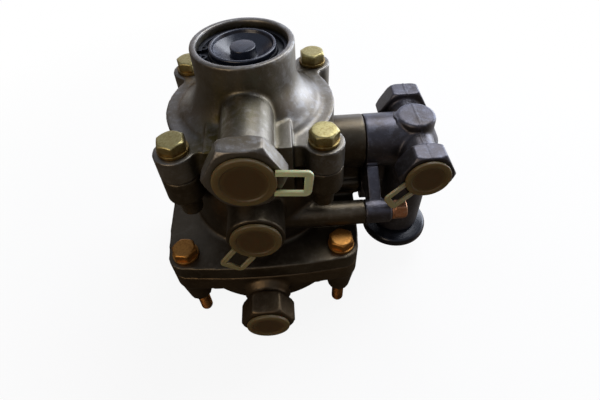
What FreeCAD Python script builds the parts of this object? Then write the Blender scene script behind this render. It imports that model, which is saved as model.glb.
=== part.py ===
import FreeCAD, Part
import math
import os
import types

import Sketcher
from FreeCAD import Placement, Rotation, Vector

# Air brake control valve with a release valve on its side, in millimetres.
# Frame: +Z along the main bore towards the exhaust, -Y towards the front
# ports, +X towards the release valve. The origin is where the main axis meets
# the plane of the four stud bosses under the lower cover.

# Driving dimensions

DRIVING = {
    # heights of the castings, from the stud bosses upwards
    "cover_height": 32.0,
    "cover_flange": 12.0,
    "base_flange": 10.4,
    "middle_height": 69.0,
    "top_flange": 14.0,
    "neck_height": 34.2,
    "lower_lug_height": 15.5,
    # round outlines of the castings
    "rim_radius": 25.3,
    "neck_wall": 3.3,
    "neck_straight": 15.0,
    "flare_radius": 20.0,
    "flare_step": 8.0,
    "body_radius": 43.0,
    "disc_step": 2.0,
    "base_disc_radius": 59.4,
    "dish_step": 1.2,
    "dish_bottom": 2.6,
    "dish_edge": 4.0,
    "cast_wall": 6.0,
    # bolt lugs
    "upper_bolt_inset": 6.8,
    "lower_bolt_inset": 13.2,
    "lug_radius": 10.3,
    "lug_tail_radius": 6.6,
    "lug_tail_height": 13.0,
    "boss_foot_radius": 7.2,
    "lug_fillet": 4.0,
    # bolts, washers and screws
    "bolt_radius": 4.0,
    "thread_radius": 3.6,
    "bolt_clearance": 0.3,
    "thread_clearance": 0.05,
    "head_flats": 13.0,
    "head_height": 5.3,
    "head_chamfer": 1.1,
    "washer_radius": 7.7,
    "washer_thickness": 1.7,
    "washer_slit": 1.2,
    "upper_bolt_length": 30.0,
    "stud_reach": 22.0,
    "stud_tip": 2.4,
    "side_screw_radius": 3.0,
    "side_head_flats": 10.4,
    "side_head_height": 7.0,
    "side_washer_radius": 5.6,
    "side_screw_length": 32.0,
    # chamber and bores of the main axis
    "seat_hole_radius": 12.0,
    "seat_lip_width": 1.6,
    "seat_lip_height": 2.0,
    "partition": 7.0,
    "body_wall": 6.8,
    "piston_bore_depth": 28.0,
    "base_wall": 9.1,
    "control_recess": 5.0,
    "chamber_wall": 12.0,
    "chamber_top_radius": 19.0,
    "chamber_height": 25.0,
    "guide_seat_drop": 11.7,
    # front ports
    "top_port_rise": 23.5,
    "top_port_reach": 24.5,
    "top_port_flats": 32.0,
    "top_port_hex_length": 10.0,
    "top_boss_radius": 12.5,
    "hex_bevel": 2.2,
    "large_thread_radius": 10.2,
    "small_thread_radius": 7.2,
    "thread_depth": 14.0,
    "thread_mouth": 1.2,
    "large_passage": 8.0,
    "small_passage": 4.5,
    "pad_half_width": 20.7,
    "pad_step": 3.0,
    "pad_drop": 4.0,
    "pad_tail": 17.0,
    "middle_port_rise": 41.8,
    "middle_port_shift": 1.0,
    "middle_port_reach": 18.9,
    "middle_boss_radius": 15.3,
    "low_port_drop": 17.0,
    "low_port_reach": 21.4,
    "low_port_flats": 28.0,
    "low_port_hex_length": 14.5,
    "low_boss_radius": 12.0,
    "low_collar_radius": 14.2,
    "low_collar_width": 4.0,
    # tubes towards the release valve
    "side_joint_reach": 20.6,
    "side_shift": 1.5,
    "side_tube_drop": 20.0,
    "side_tube_radius": 16.0,
    "arm_offset": 36.0,
    "arm_drop": 43.8,
    "arm_radius": 7.2,
    "arm_step": 2.8,
    "arm_end": 13.0,
    "arm_chamfer": 1.6,
    "block_plate": 7.0,
    "duct_shift": 4.5,
    "middle_duct_drop": 51.5,
    "middle_duct_radius": 4.5,
    "low_duct_drop": 57.0,
    "low_duct_radius": 2.6,
    # release valve
    "release_reach": 29.8,
    "release_radius": 16.0,
    "release_foot": 8.5,
    "release_top_rise": 17.5,
    "release_top_radius": 11.6,
    "release_bore": 9.3,
    "side_port_rise": 2.0,
    "side_front_reach": 36.5,
    "side_rear_reach": 34.0,
    "side_port_flats": 28.2,
    "side_port_hex_length": 12.5,
    "side_neck_radius": 10.5,
    "spool_clearance": 0.06,
    "spool_stem": 5.0,
    "bush_height": 10.9,
    "bush_inset": 3.0,
    "clip_rise": 1.2,
    "spool_groove_rise": 5.0,
    "spool_waist": 3.0,
    "knob_radius": 22.8,
    "knob_height": 9.0,
    "knob_seat": 4.0,
    "knob_gap": 2.5,
    "knob_travel": 10.0,
    # exhaust set and inlet valve
    "guide_flange": 6.1,
    "guide_depth": 20.0,
    "guide_groove_rise": 2.4,
    "stem_seal_drop": 15.3,
    "hub_radius": 3.8,
    "hub_bore": 1.9,
    "spoke_width": 2.2,
    "guide_clearance": 0.12,
    "circlip_thickness": 1.5,
    "circlip_width": 2.8,
    "circlip_groove": 1.1,
    "flap_radius": 16.4,
    "flap_drop": 1.6,
    "flap_thickness": 1.7,
    "flap_button": 6.1,
    "flap_barb": 2.6,
    "stem_gap": 1.9,
    "valve_tube_radius": 9.0,
    "valve_tube_bore": 6.6,
    "valve_face_radius": 16.2,
    "valve_face_thickness": 2.5,
    "valve_head": 2.2,
    "valve_lift": 3.0,
    "seat_gap": 0.3,
    "exhaust_gap": 2.1,
    "running_clearance": 0.05,
    "spring_wire": 1.1,
    "spring_turns": 5.0,
    # relay piston
    "piston_clearance": 0.3,
    "piston_disc": 7.0,
    "control_disc": 8.0,
    "control_disc_rise": 20.0,
    "piston_neck": 16.0,
    "piston_stem": 8.4,
    # seals and caps
    "ring_section": 1.3,
    "small_ring_section": 0.9,
    "sleeve_wall": 3.2,
    "large_cap_radius": 13.4,
    "small_cap_radius": 12.5,
    "cap_flange": 2.2,
    "cap_wall": 1.2,
    "cap_depth": 9.0,
    "cap_grip": 0.12,
    "loop_length": 14.8,
    "small_loop_length": 14.0,
    "small_loop_width": 11.7,
    "loop_lean": 14.0,
    "spanner_room": 0.6,
    "loop_width": 14.5,
    "loop_bar": 2.9,
    "loop_end_bar": 3.6,
    "loop_thickness": 1.8,
}

doc = FreeCAD.newDocument("control_valve")
sheet = doc.addObject("Spreadsheet::Sheet", "Sizes")


class Size:
    """A length together with the spreadsheet expression that gives it."""

    def __init__(self, value, text):
        self.value = float(value)
        self.text = text

    def joined(self, sign, other, value):
        return Size(value, f"({self.text} {sign} {as_size(other).text})")

    def __add__(self, other):
        return self.joined("+", other, self.value + as_size(other).value)

    def __radd__(self, other):
        return as_size(other) + self

    def __sub__(self, other):
        return self.joined("-", other, self.value - as_size(other).value)

    def __rsub__(self, other):
        return as_size(other) - self

    def __mul__(self, other):
        return self.joined("*", other, self.value * as_size(other).value)

    def __rmul__(self, other):
        return as_size(other) * self

    def __truediv__(self, other):
        return self.joined("/", other, self.value / as_size(other).value)

    def __neg__(self):
        return Size(-self.value, f"(-1 * {self.text})")


def as_size(number):
    """Give a plain number the form of a Size."""
    if isinstance(number, Size):
        return number
    return Size(number, f"{float(number):.6f}")


def fill_sheet(values):
    """Write every driving dimension into the sheet under its own alias."""
    sizes = {}
    for row, (alias, value) in enumerate(values.items(), 1):
        sheet.set(f"A{row}", alias)
        sheet.set(f"B{row}", str(value))
        sheet.setAlias(f"B{row}", alias)
        sizes[alias] = Size(value, f"Sizes.{alias}")
    doc.recompute()
    return types.SimpleNamespace(**sizes)


s = fill_sheet(DRIVING)
ZERO = as_size(0)

# Heights and reaches that follow from them

cover_joint = s.cover_height
base_top = cover_joint + s.base_flange
upper_joint = cover_joint + s.middle_height
disc_top = upper_joint + s.top_flange
rim_top = disc_top + s.neck_height
disc_radius = s.body_radius + s.disc_step
piston_bore = s.body_radius - s.body_wall
control_bore = s.base_disc_radius - s.base_wall
upper_bolt_offset = s.body_radius - s.upper_bolt_inset
lower_bolt_offset = s.base_disc_radius - s.lower_bolt_inset
pad_front = s.body_radius + s.pad_step
top_port_face = disc_radius + s.top_port_reach
middle_port_face = s.body_radius + s.middle_port_reach
low_port_face = s.base_disc_radius + s.low_port_reach
side_joint = s.body_radius + s.side_joint_reach
neck_bore = s.rim_radius - s.neck_wall
guide_seat = rim_top - s.guide_seat_drop
top_port_height = upper_joint + s.top_port_rise
middle_port_height = cover_joint + s.middle_port_rise
low_port_height = cover_joint - s.low_port_drop
side_tube_height = upper_joint - s.side_tube_drop
arm_height = upper_joint - s.arm_drop
release_axis = side_joint + s.release_reach
release_top = side_tube_height + s.release_top_rise
side_port_height = side_tube_height + s.side_port_rise
seat_lip_top = upper_joint + s.seat_lip_height
valve_face_bottom = seat_lip_top + s.seat_gap

# Directions that a cylinder, prism or box can be turned to

WAYS = {
    "up": Rotation(),
    "down": Rotation(Vector(1, 0, 0), 180),
    "right": Rotation(Vector(0, 1, 0), 90),
    "left": Rotation(Vector(0, 1, 0), -90),
    "front": Rotation(Vector(1, 0, 0), 90),
    "back": Rotation(Vector(1, 0, 0), -90),
}
STEPS = {"up": (0, 0, 1), "down": (0, 0, -1), "right": (1, 0, 0), "left": (-1, 0, 0),
         "front": (0, -1, 0), "back": (0, 1, 0)}


def bind(thing, field, size):
    """Set a property and tie it to the sheet."""
    size = as_size(size)
    setattr(thing, field, size.value)
    thing.setExpression(field, size.text)


def put(thing, spot, rotation=Rotation()):
    """Place an object at (x, y, z), each tied to the sheet."""
    spot = [as_size(value) for value in spot]
    thing.Placement = Placement(Vector(*[value.value for value in spot]), rotation)
    for axis, value in zip("xyz", spot):
        thing.setExpression(f"Placement.Base.{axis}", value.text)
    return thing


def moved(spot, way, length):
    """The point that lies length further along a way."""
    return tuple(as_size(at) + as_size(length) * step if step else as_size(at)
                 for at, step in zip(spot, STEPS[way]))


def cylinder(name, radius, length, spot, way="up"):
    thing = doc.addObject("Part::Cylinder", name)
    bind(thing, "Radius", radius)
    bind(thing, "Height", length)
    return put(thing, spot, WAYS[way])


def cone(name, first, second, length, spot, way="up"):
    thing = doc.addObject("Part::Cone", name)
    bind(thing, "Radius1", first)
    bind(thing, "Radius2", second)
    bind(thing, "Height", length)
    return put(thing, spot, WAYS[way])


def torus(name, ring, section, spot, way="up"):
    thing = doc.addObject("Part::Torus", name)
    bind(thing, "Radius1", ring)
    bind(thing, "Radius2", section)
    return put(thing, spot, WAYS[way])


def box(name, low, high):
    thing = doc.addObject("Part::Box", name)
    for field, start, end in zip(("Length", "Width", "Height"), low, high):
        bind(thing, field, as_size(end) - as_size(start))
    return put(thing, low)


def prism(name, flats, length, spot, way="up", turn=0):
    """A hexagonal bar; with turn 0 a horizontal one has a flat on top."""
    thing = doc.addObject("Part::Prism", name)
    thing.Polygon = 6
    bind(thing, "Circumradius", as_size(flats) / math.sqrt(3))
    bind(thing, "Height", length)
    return put(thing, spot, WAYS[way].multiply(Rotation(Vector(0, 0, 1), turn)))


def fuse(name, things):
    thing = doc.addObject("Part::MultiFuse", name)
    thing.Shapes = things
    thing.Refine = True
    return thing


def cut(name, base, tools):
    """Cut the tools from the base in one step."""
    thing = doc.addObject("Part::Cut", name)
    thing.Base = base
    thing.Tool = tools[0] if len(tools) == 1 else fuse(name + "_cavities", tools)
    thing.Refine = True
    return thing


def common(name, first, second):
    thing = doc.addObject("Part::Common", name)
    thing.Base = first
    thing.Tool = second
    return thing


def group(name, things):
    """Several separate solids that make one set of like pieces."""
    thing = doc.addObject("Part::Compound", name)
    thing.Links = things
    return thing


def rounded(name, base, radius, chosen):
    """Round the edges of the base that chosen(edge) picks."""
    doc.recompute()
    thing = doc.addObject("Part::Fillet", name)
    thing.Base = base
    size = as_size(radius).value
    thing.Edges = [(number, size, size) for number, edge in enumerate(base.Shape.Edges, 1)
                   if chosen(edge)]
    return thing


def origin_plane(body, role):
    return next(plane for plane in body.Origin.OriginFeatures if plane.Role == role)


def arc_between(start, end, radius):
    """The arc from start to end; a negative radius bulges to the left."""
    chord = end.sub(start)
    middle = start.add(end).multiply(0.5)
    offset = math.sqrt(max(radius * radius - chord.Length ** 2 / 4, 0.0))
    side = 1 if radius > 0 else -1
    normal = Vector(-chord.y, chord.x, 0).normalize()
    centre = middle.add(normal.multiply(side * offset))
    first = math.atan2(start.y - centre.y, start.x - centre.x)
    last = math.atan2(end.y - centre.y, end.x - centre.x)
    circle = Part.Circle(centre, Vector(0, 0, 1), abs(radius))
    if side > 0:
        return Part.ArcOfCircle(circle, first, last), 1, 2
    return Part.ArcOfCircle(circle, last, first), 2, 1


def draw_outline(sketch, points):
    """A closed outline through (across, up) points, tied to the sheet.

    A third entry on a point is the radius of the arc to the next point.
    """
    points = [tuple(as_size(value) for value in point) for point in points]
    ends = []
    for index, point in enumerate(points):
        following = points[(index + 1) % len(points)]
        start = Vector(point[0].value, point[1].value, 0)
        end = Vector(following[0].value, following[1].value, 0)
        if len(point) == 3:
            curve, first, last = arc_between(start, end, point[2].value)
        else:
            curve, first, last = Part.LineSegment(start, end), 1, 2
        ends.append((sketch.addGeometry(curve, False), first, last))
    for index, point in enumerate(points):
        curve, first, _ = ends[index]
        before, _, last = ends[index - 1]
        sketch.addConstraint(Sketcher.Constraint("Coincident", before, last, curve, first))
        for kind, size in (("DistanceX", point[0]), ("DistanceY", point[1])):
            rule = Sketcher.Constraint(kind, -1, 1, curve, first, size.value)
            number = sketch.addConstraint(rule)
            sketch.setExpression(f"Constraints[{number}]", size.text)
        if len(point) == 3:
            size = point[2] if point[2].value > 0 else -point[2]
            number = sketch.addConstraint(Sketcher.Constraint("Radius", curve, size.value))
            sketch.setExpression(f"Constraints[{number}]", size.text)


def turned(name, points, spot=(0, 0, 0), way="up"):
    """A body turned about its own axis from a (radius, height) outline."""
    body = doc.addObject("PartDesign::Body", name)
    sketch = body.newObject("Sketcher::SketchObject", name + "_outline")
    sketch.AttachmentSupport = [(origin_plane(body, "XZ_Plane"), "")]
    sketch.MapMode = "FlatFace"
    draw_outline(sketch, points)
    turn = body.newObject("PartDesign::Revolution", name + "_turn")
    turn.Profile = sketch
    turn.ReferenceAxis = (sketch, ["V_Axis"])
    turn.Angle = 360
    return put(body, spot, WAYS[way])


def plate(name, points, thickness, spot, role="XY_Plane", turn=Rotation()):
    """A flat piece padded from a closed outline."""
    body = doc.addObject("PartDesign::Body", name)
    sketch = body.newObject("Sketcher::SketchObject", name + "_outline")
    sketch.AttachmentSupport = [(origin_plane(body, role), "")]
    sketch.MapMode = "FlatFace"
    draw_outline(sketch, points)
    pad = body.newObject("PartDesign::Pad", name + "_pad")
    pad.Profile = sketch
    bind(pad, "Length", thickness)
    return put(body, spot, turn)


def corners(offset, height):
    """The four corners of a square bolt pattern, front left first."""
    return [(-offset, -offset, height), (offset, -offset, height),
            (offset, offset, height), (-offset, offset, height)]


def hex_end(name, flats, length, spot, way):
    """A hexagonal port end whose corners are turned off at both ends."""
    bar = prism(name + "_bar", flats, length, spot, way)
    corner = as_size(flats) / math.sqrt(3)
    waist = as_size(flats) / 2 + 0.2
    blank = turned(name + "_blank", [
        (0, -1), (waist, -1), (waist, 0), (corner + 0.5, s.hex_bevel),
        (corner + 0.5, length - s.hex_bevel), (waist, length), (0, length)], spot, way)
    return common(name, bar, blank)


def port_bore(name, thread_radius, passage_radius, passage_length, mouth, way_in):
    """Thread bore with a countersunk mouth and a narrower passage behind."""
    return [
        cylinder(name + "_thread", thread_radius, s.thread_depth, mouth, way_in),
        cone(name + "_mouth", thread_radius + s.thread_mouth, thread_radius, s.thread_mouth,
             mouth, way_in),
        cylinder(name + "_passage", passage_radius, passage_length, mouth, way_in),
    ]


# Castings


def make_upper_housing():
    """Exhaust neck, dome, flange disc with four lugs and the top front port."""
    flare_top = rim_top - s.neck_straight
    groove_bottom = guide_seat + s.guide_flange
    groove_top = groove_bottom + s.circlip_thickness + 0.1
    chamber_waist = upper_joint + s.chamber_height
    flare_foot = disc_radius - s.flare_step
    mouth = s.body_radius - s.chamber_wall
    shell = turned("upper_shell", [
        (0, upper_joint),
        (disc_radius, upper_joint),
        (disc_radius, disc_top),
        (flare_foot + 2.5, disc_top, -4.5),
        (flare_foot - 0.8, disc_top + 2.0, -s.flare_radius),
        (s.rim_radius, flare_top),
        (s.rim_radius, rim_top - 0.8, 0.8),
        (s.rim_radius - 0.8, rim_top),
        (0, rim_top),
    ])
    cavity = turned("upper_cavity", [
        (0, upper_joint - 1),
        (mouth, upper_joint - 1),
        (mouth, upper_joint + 8),
        (s.chamber_top_radius, chamber_waist),
        (s.chamber_top_radius, guide_seat),
        (neck_bore, guide_seat),
        (neck_bore, groove_bottom),
        (neck_bore + s.circlip_groove, groove_bottom),
        (neck_bore + s.circlip_groove, groove_top),
        (neck_bore, groove_top),
        (neck_bore, rim_top - 0.5),
        (neck_bore + 1.5, rim_top + 1),
        (0, rim_top + 1),
    ])
    parts = [shell]
    for number, spot in enumerate(corners(upper_bolt_offset, upper_joint), 1):
        parts.append(cylinder(f"upper_lug_{number}", s.lug_radius, s.top_flange, spot))
    boss_start = s.chamber_top_radius
    boss_end = top_port_face - s.top_port_hex_length
    parts.append(cylinder("top_port_boss", s.top_boss_radius, boss_end - boss_start + 1,
                          (0, -boss_start, top_port_height), "front"))
    parts.append(hex_end("top_port_hex", s.top_port_flats, s.top_port_hex_length,
                         (0, -boss_end, top_port_height), "front"))
    parts.append(box("top_port_pad",
                     (-s.pad_half_width, -pad_front, upper_joint),
                     (s.pad_half_width, -s.chamber_top_radius - 3,
                      top_port_height - s.pad_drop)))
    raw = fuse("upper_raw", parts)

    def lug_flank(edge):
        centre = edge.CenterOfMass
        upright = abs(edge.tangentAt(edge.FirstParameter).z) > 0.99 and len(edge.Vertexes) == 2
        far = math.hypot(centre.x, centre.y)
        inside = upper_joint.value < centre.z < disc_top.value
        near_lug = abs(abs(centre.x) - upper_bolt_offset.value) < s.lug_radius.value
        return upright and inside and near_lug and far > disc_radius.value - 1

    soft = rounded("upper_soft", raw, s.lug_fillet, lug_flank)
    tools = [cavity]
    tools += port_bore("top_port", s.large_thread_radius, s.large_passage,
                       top_port_face - s.chamber_top_radius,
                       (0, -top_port_face, top_port_height), "back")
    hole = s.bolt_radius + s.bolt_clearance
    for number, spot in enumerate(corners(upper_bolt_offset, upper_joint - 1), 1):
        tools.append(cylinder(f"upper_hole_{number}", hole, s.top_flange + 2, spot))
    return cut("upper_housing", soft, tools)


def make_flange(name, bottom, thickness):
    """Square flange with round corners and sides that bow out to the base disc.

    Each side is one long arc, tangent to both of its corner arcs.
    """
    offset = lower_bolt_offset
    corner = s.lug_radius
    bow = s.base_disc_radius - corner
    shift = (offset * offset * 2 - bow * bow) / ((bow - offset) * 2)
    side = s.base_disc_radius + shift
    share = side / (side - corner)
    near = offset * share
    far = (offset + shift) * share - shift
    return plate(name, [
        (-near, -far, side), (near, -far, corner),
        (far, -near, side), (far, near, corner),
        (near, far, side), (-near, far, corner),
        (-far, near, side), (-far, -near, corner),
    ], thickness, (0, 0, bottom))


def side_flange(name, start, thickness):
    """Plate of the side block that links its tube and its two screw arms."""
    half = s.arm_radius
    top = side_tube_height - 5
    foot = arm_height - half + 1
    rise = s.side_tube_radius + 2.5
    notch = s.side_tube_radius - 3
    return plate(name, [
        (s.side_shift - s.arm_offset - half + 1.5, arm_height + 2),
        (s.side_shift - s.arm_offset, foot),
        (s.side_shift - s.arm_offset + half, foot + 4),
        (s.side_shift - notch, side_tube_height - s.side_tube_radius + 2),
        (s.side_shift + notch, side_tube_height - s.side_tube_radius + 2),
        (s.side_shift + s.arm_offset - half, foot + 4),
        (s.side_shift + s.arm_offset, foot),
        (s.side_shift + s.arm_offset + half - 1.5, arm_height + 2),
        (s.side_shift + rise, top),
        (s.side_shift - rise, top),
    ], thickness, (start, 0, 0), "YZ_Plane")


def make_middle_housing():
    """Body with piston bores, middle port, base flange and the side tubes."""
    bore_top = cover_joint + s.piston_bore_depth
    partition_bottom = upper_joint - s.partition
    recess_top = cover_joint + s.control_recess
    lip_inner = s.seat_hole_radius + 0.6
    body = cylinder("middle_body", s.body_radius, s.middle_height, (0, 0, cover_joint))
    flange = make_flange("middle_flange", cover_joint, s.base_flange)
    parts = [body, flange]
    lug_bottom = upper_joint - s.lower_lug_height
    for number, spot in enumerate(corners(upper_bolt_offset, lug_bottom), 1):
        parts.append(cylinder(f"middle_lug_{number}", s.lug_radius, s.lower_lug_height, spot))
        parts.append(cone(f"middle_lug_tail_{number}", s.lug_tail_radius,
                          s.lug_tail_radius - 0.8, s.lug_tail_height, spot, "down"))
    pad_bottom = upper_joint - s.pad_tail
    parts.append(plate("middle_pad", [
        (-pad_front, upper_joint),
        (-pad_front, pad_bottom + 5),
        (-s.body_radius + 8, pad_bottom - 6),
        (-s.body_radius + 8, upper_joint),
    ], s.pad_half_width * 2, (-s.pad_half_width, 0, 0), "YZ_Plane"))
    boss_start = piston_bore
    parts.append(cylinder("middle_port_boss", s.middle_boss_radius,
                          middle_port_face - boss_start,
                          (-s.middle_port_shift, -boss_start, middle_port_height), "front"))
    tube_start = piston_bore
    parts.append(cylinder("side_tube", s.side_tube_radius, side_joint - tube_start,
                          (tube_start, s.side_shift, side_tube_height), "right"))
    arm_start = s.middle_boss_radius / 2
    arm_joint = side_joint - s.arm_step
    for number, side in enumerate((-1, 1), 1):
        across = s.side_shift + s.arm_offset * side
        parts.append(cylinder(f"side_arm_{number}", s.arm_radius, arm_joint - arm_start,
                              (arm_start, across, arm_height), "right"))
    ducts = (("middle_duct", s.middle_duct_radius, s.middle_duct_drop),
             ("low_duct", s.low_duct_radius, s.low_duct_drop))
    for name, radius, drop in ducts:
        spot = (tube_start, s.side_shift - s.duct_shift, upper_joint - drop)
        parts.append(cylinder(name, radius, side_joint - tube_start, spot, "right"))
    raw = fuse("middle_raw", parts)
    lip = turned("seat_lip", [
        (lip_inner, upper_joint - 1),
        (lip_inner + s.seat_lip_width + 1, upper_joint - 1),
        (lip_inner + s.seat_lip_width + 1, upper_joint),
        (lip_inner + s.seat_lip_width, seat_lip_top),
        (lip_inner, seat_lip_top),
    ])
    whole = fuse("middle_whole", [raw, lip])
    cavity = turned("middle_cavity", [
        (0, cover_joint - 1),
        (control_bore + 0.2, cover_joint - 1),
        (control_bore + 0.2, recess_top),
        (piston_bore, recess_top),
        (piston_bore, bore_top),
        (piston_bore - 2, bore_top + 2),
        (piston_bore - 2, partition_bottom),
        (s.seat_hole_radius, partition_bottom),
        (s.seat_hole_radius, seat_lip_top + 1),
        (0, seat_lip_top + 1),
    ])
    tools = [cavity]
    tools += port_bore("middle_port", s.large_thread_radius, s.large_passage,
                       middle_port_face - piston_bore + 8,
                       (-s.middle_port_shift, -middle_port_face, middle_port_height), "back")
    tools.append(cylinder("side_tube_bore", s.large_passage,
                          side_joint - piston_bore + 8,
                          (side_joint + 1, s.side_shift, side_tube_height), "left"))
    for number, side in enumerate((-1, 1), 1):
        across = s.side_shift + s.arm_offset * side
        tools.append(cylinder(f"arm_thread_{number}",
                              s.side_screw_radius + s.thread_clearance,
                              s.side_screw_length - s.arm_end + 3,
                              (arm_joint + 1, across, arm_height), "left"))
    for number, spot in enumerate(corners(upper_bolt_offset, lug_bottom - 1), 1):
        tools.append(cylinder(f"middle_thread_{number}", s.bolt_radius + s.thread_clearance,
                              s.lower_lug_height + 2, spot))
    for number, spot in enumerate(corners(lower_bolt_offset, cover_joint - 1), 1):
        tools.append(cylinder(f"base_hole_{number}", s.bolt_radius + s.bolt_clearance,
                              s.base_flange + 2, spot))
    room = s.washer_thickness + s.head_height + s.spanner_room
    for number, spot in enumerate(corners(lower_bolt_offset, base_top), 1):
        tools.append(cylinder(f"spanner_room_{number}", s.washer_radius + s.spanner_room,
                              room, spot))
    tools.append(ring_groove("upper_joint_groove", s.body_radius - 5.5, upper_joint, "down"))
    return cut("middle_housing", whole, tools)


def ring_groove(name, ring, height, way, spot=None):
    """A square groove that holds an O-ring in a flat face."""
    half = s.ring_section + 0.15
    depth = s.ring_section * 2
    outline = [(ring - half, -1), (ring + half, -1), (ring + half, depth),
               (ring - half, depth)]
    return turned(name, outline, spot or (0, 0, height), way)


def make_lower_cover():
    """Flange, round dish, four tapered stud bosses and the low front port."""
    flange_bottom = cover_joint - s.cover_flange
    flange = make_flange("cover_flange_plate", flange_bottom, s.cover_flange)
    dish_foot = s.base_disc_radius - s.dish_step
    dish = turned("cover_dish", [
        (0, s.dish_bottom),
        (dish_foot - s.dish_edge, s.dish_bottom, s.dish_edge),
        (dish_foot, s.dish_bottom + s.dish_edge),
        (s.base_disc_radius - 0.4, flange_bottom + 1),
        (0, flange_bottom + 1),
    ])
    parts = [flange, dish]
    for number, spot in enumerate(corners(lower_bolt_offset, ZERO), 1):
        parts.append(cone(f"stud_boss_{number}", s.boss_foot_radius, s.lug_radius - 0.3,
                          flange_bottom + 1, spot))
    hex_start = low_port_face - s.low_port_hex_length
    neck_start = control_bore + 1.5
    parts.append(cylinder("low_port_neck", s.low_boss_radius, hex_start - neck_start + 1,
                          (0, -neck_start, low_port_height), "front"))
    parts.append(turned("low_port_collar", [
        (s.low_boss_radius - 1, 0),
        (s.low_collar_radius, 0, 1.2),
        (s.low_collar_radius, 1.2),
        (s.low_boss_radius, s.low_collar_width),
        (s.low_boss_radius - 1, s.low_collar_width),
    ], (0, -s.base_disc_radius - 0.4, low_port_height), "front"))
    parts.append(hex_end("low_port_hex", s.low_port_flats, s.low_port_hex_length,
                         (0, -hex_start, low_port_height), "front"))
    raw = fuse("cover_raw", parts)
    floor = s.dish_bottom + s.cast_wall
    cavity = turned("cover_cavity", [
        (22, floor),
        (control_bore - 3, floor, 3),
        (control_bore, floor + 3),
        (control_bore, cover_joint + 1),
        (0, cover_joint + 1),
        (0, s.control_disc_rise - 0.1),
        (22, s.control_disc_rise - 0.1),
    ])
    tools = [cavity]
    tools += port_bore("low_port", s.small_thread_radius, s.small_passage,
                       low_port_face - control_bore + 6,
                       (0, -low_port_face, low_port_height), "back")
    for number, spot in enumerate(corners(lower_bolt_offset, as_size(-1)), 1):
        tools.append(cylinder(f"cover_hole_{number}", s.bolt_radius + s.bolt_clearance,
                              cover_joint + 2, spot))
    tools.append(ring_groove("cover_joint_groove", control_bore + 4.5, cover_joint, "down"))
    return cut("lower_cover", raw, tools)


def make_side_block():
    """Release valve casting: tube, upright cylinder, two ports, two arms."""
    axis = (release_axis, s.side_shift)
    arm_joint = side_joint - s.arm_step
    tube = cylinder("block_tube", s.side_tube_radius, s.release_reach,
                    (side_joint, s.side_shift, side_tube_height), "right")
    column_top = side_tube_height
    column = cylinder("block_column", s.release_radius, column_top - s.release_foot,
                      (*axis, s.release_foot))
    dome_edge = s.release_top_radius * 0.45
    crown = turned("block_crown", [
        (0, column_top - 4),
        (s.release_top_radius, column_top - 4),
        (s.release_top_radius, release_top - dome_edge, dome_edge),
        (s.release_top_radius - dome_edge, release_top),
        (0, release_top),
    ], (*axis, 0))
    shoulder = cone("block_shoulder", s.release_radius, s.release_top_radius,
                    (release_top - column_top) * 0.5, (*axis, column_top))
    parts = [tube, column, crown, shoulder]
    reaches = (("front", "front", s.side_front_reach), ("rear", "back", s.side_rear_reach))
    for name, way, reach in reaches:
        hex_start = reach - s.side_port_hex_length
        centre = (*axis, side_port_height)
        parts.append(cylinder(f"block_{name}_neck", s.side_neck_radius, hex_start + 1,
                              centre, way))
        parts.append(hex_end(f"block_{name}_hex", s.side_port_flats, s.side_port_hex_length,
                             moved(centre, way, hex_start), way))
    for number, side in enumerate((-1, 1), 1):
        spot = (arm_joint, s.side_shift + s.arm_offset * side, arm_height)
        length = s.arm_end + s.arm_step - s.arm_chamfer
        parts.append(cylinder(f"block_arm_{number}", s.arm_radius, length, spot, "right"))
        parts.append(cone(f"block_arm_end_{number}", s.arm_radius,
                          s.arm_radius - s.arm_chamfer, s.arm_chamfer,
                          moved(spot, "right", length), "right"))
    parts.append(side_flange("block_flange", side_joint, s.block_plate))
    parts.append(box("block_web",
                     (side_joint, s.side_shift - 6, arm_height - s.arm_radius + 2),
                     (release_axis, s.side_shift + 6, side_tube_height)))
    raw = fuse("block_raw", parts)
    bush_seat = s.release_foot + s.bush_height + 0.1
    clip_groove = s.release_radius - s.bush_inset + 1
    tools = [
        cylinder("release_bore", s.release_bore, release_top - 6 - s.release_foot,
                 (*axis, s.release_foot)),
        cylinder("bush_bore", s.release_radius - s.bush_inset,
                 bush_seat - s.release_foot + 1, (*axis, s.release_foot - 1)),
        turned("bush_groove", [
            (0, 0), (clip_groove, 0), (clip_groove, s.circlip_thickness),
            (0, s.circlip_thickness)],
            (*axis, s.release_foot + s.clip_rise)),
        cylinder("block_tube_bore", s.large_passage, s.release_reach + 1,
                 (side_joint - 1, s.side_shift, side_tube_height), "right"),
        ring_groove("side_joint_groove", s.large_passage + 3.5, ZERO, "right",
                    (side_joint, s.side_shift, side_tube_height)),
    ]
    for name, way, reach in reaches:
        back = {"front": "back", "back": "front"}[way]
        mouth = moved((*axis, side_port_height), way, reach)
        tools += port_bore(f"side_{name}_port", s.small_thread_radius, s.small_passage,
                           reach - 2, mouth, back)
    for number, side in enumerate((-1, 1), 1):
        across = s.side_shift + s.arm_offset * side
        tools.append(cylinder(f"arm_hole_{number}", s.side_screw_radius + s.bolt_clearance,
                              s.arm_end + s.arm_step + 2,
                              (arm_joint - 1, across, arm_height), "right"))
    return cut("side_block", raw, tools)


# Fasteners


def fastener(radius, flats, head_height, washer_radius):
    """The sizes that a bolt and its washer share."""
    return types.SimpleNamespace(radius=radius, flats=flats, head_height=head_height,
                                 washer_radius=washer_radius)


FLANGE_BOLT = fastener(s.bolt_radius, s.head_flats, s.head_height, s.washer_radius)
SIDE_SCREW = fastener(s.side_screw_radius, s.side_head_flats, s.side_head_height,
                      s.side_washer_radius)


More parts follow.
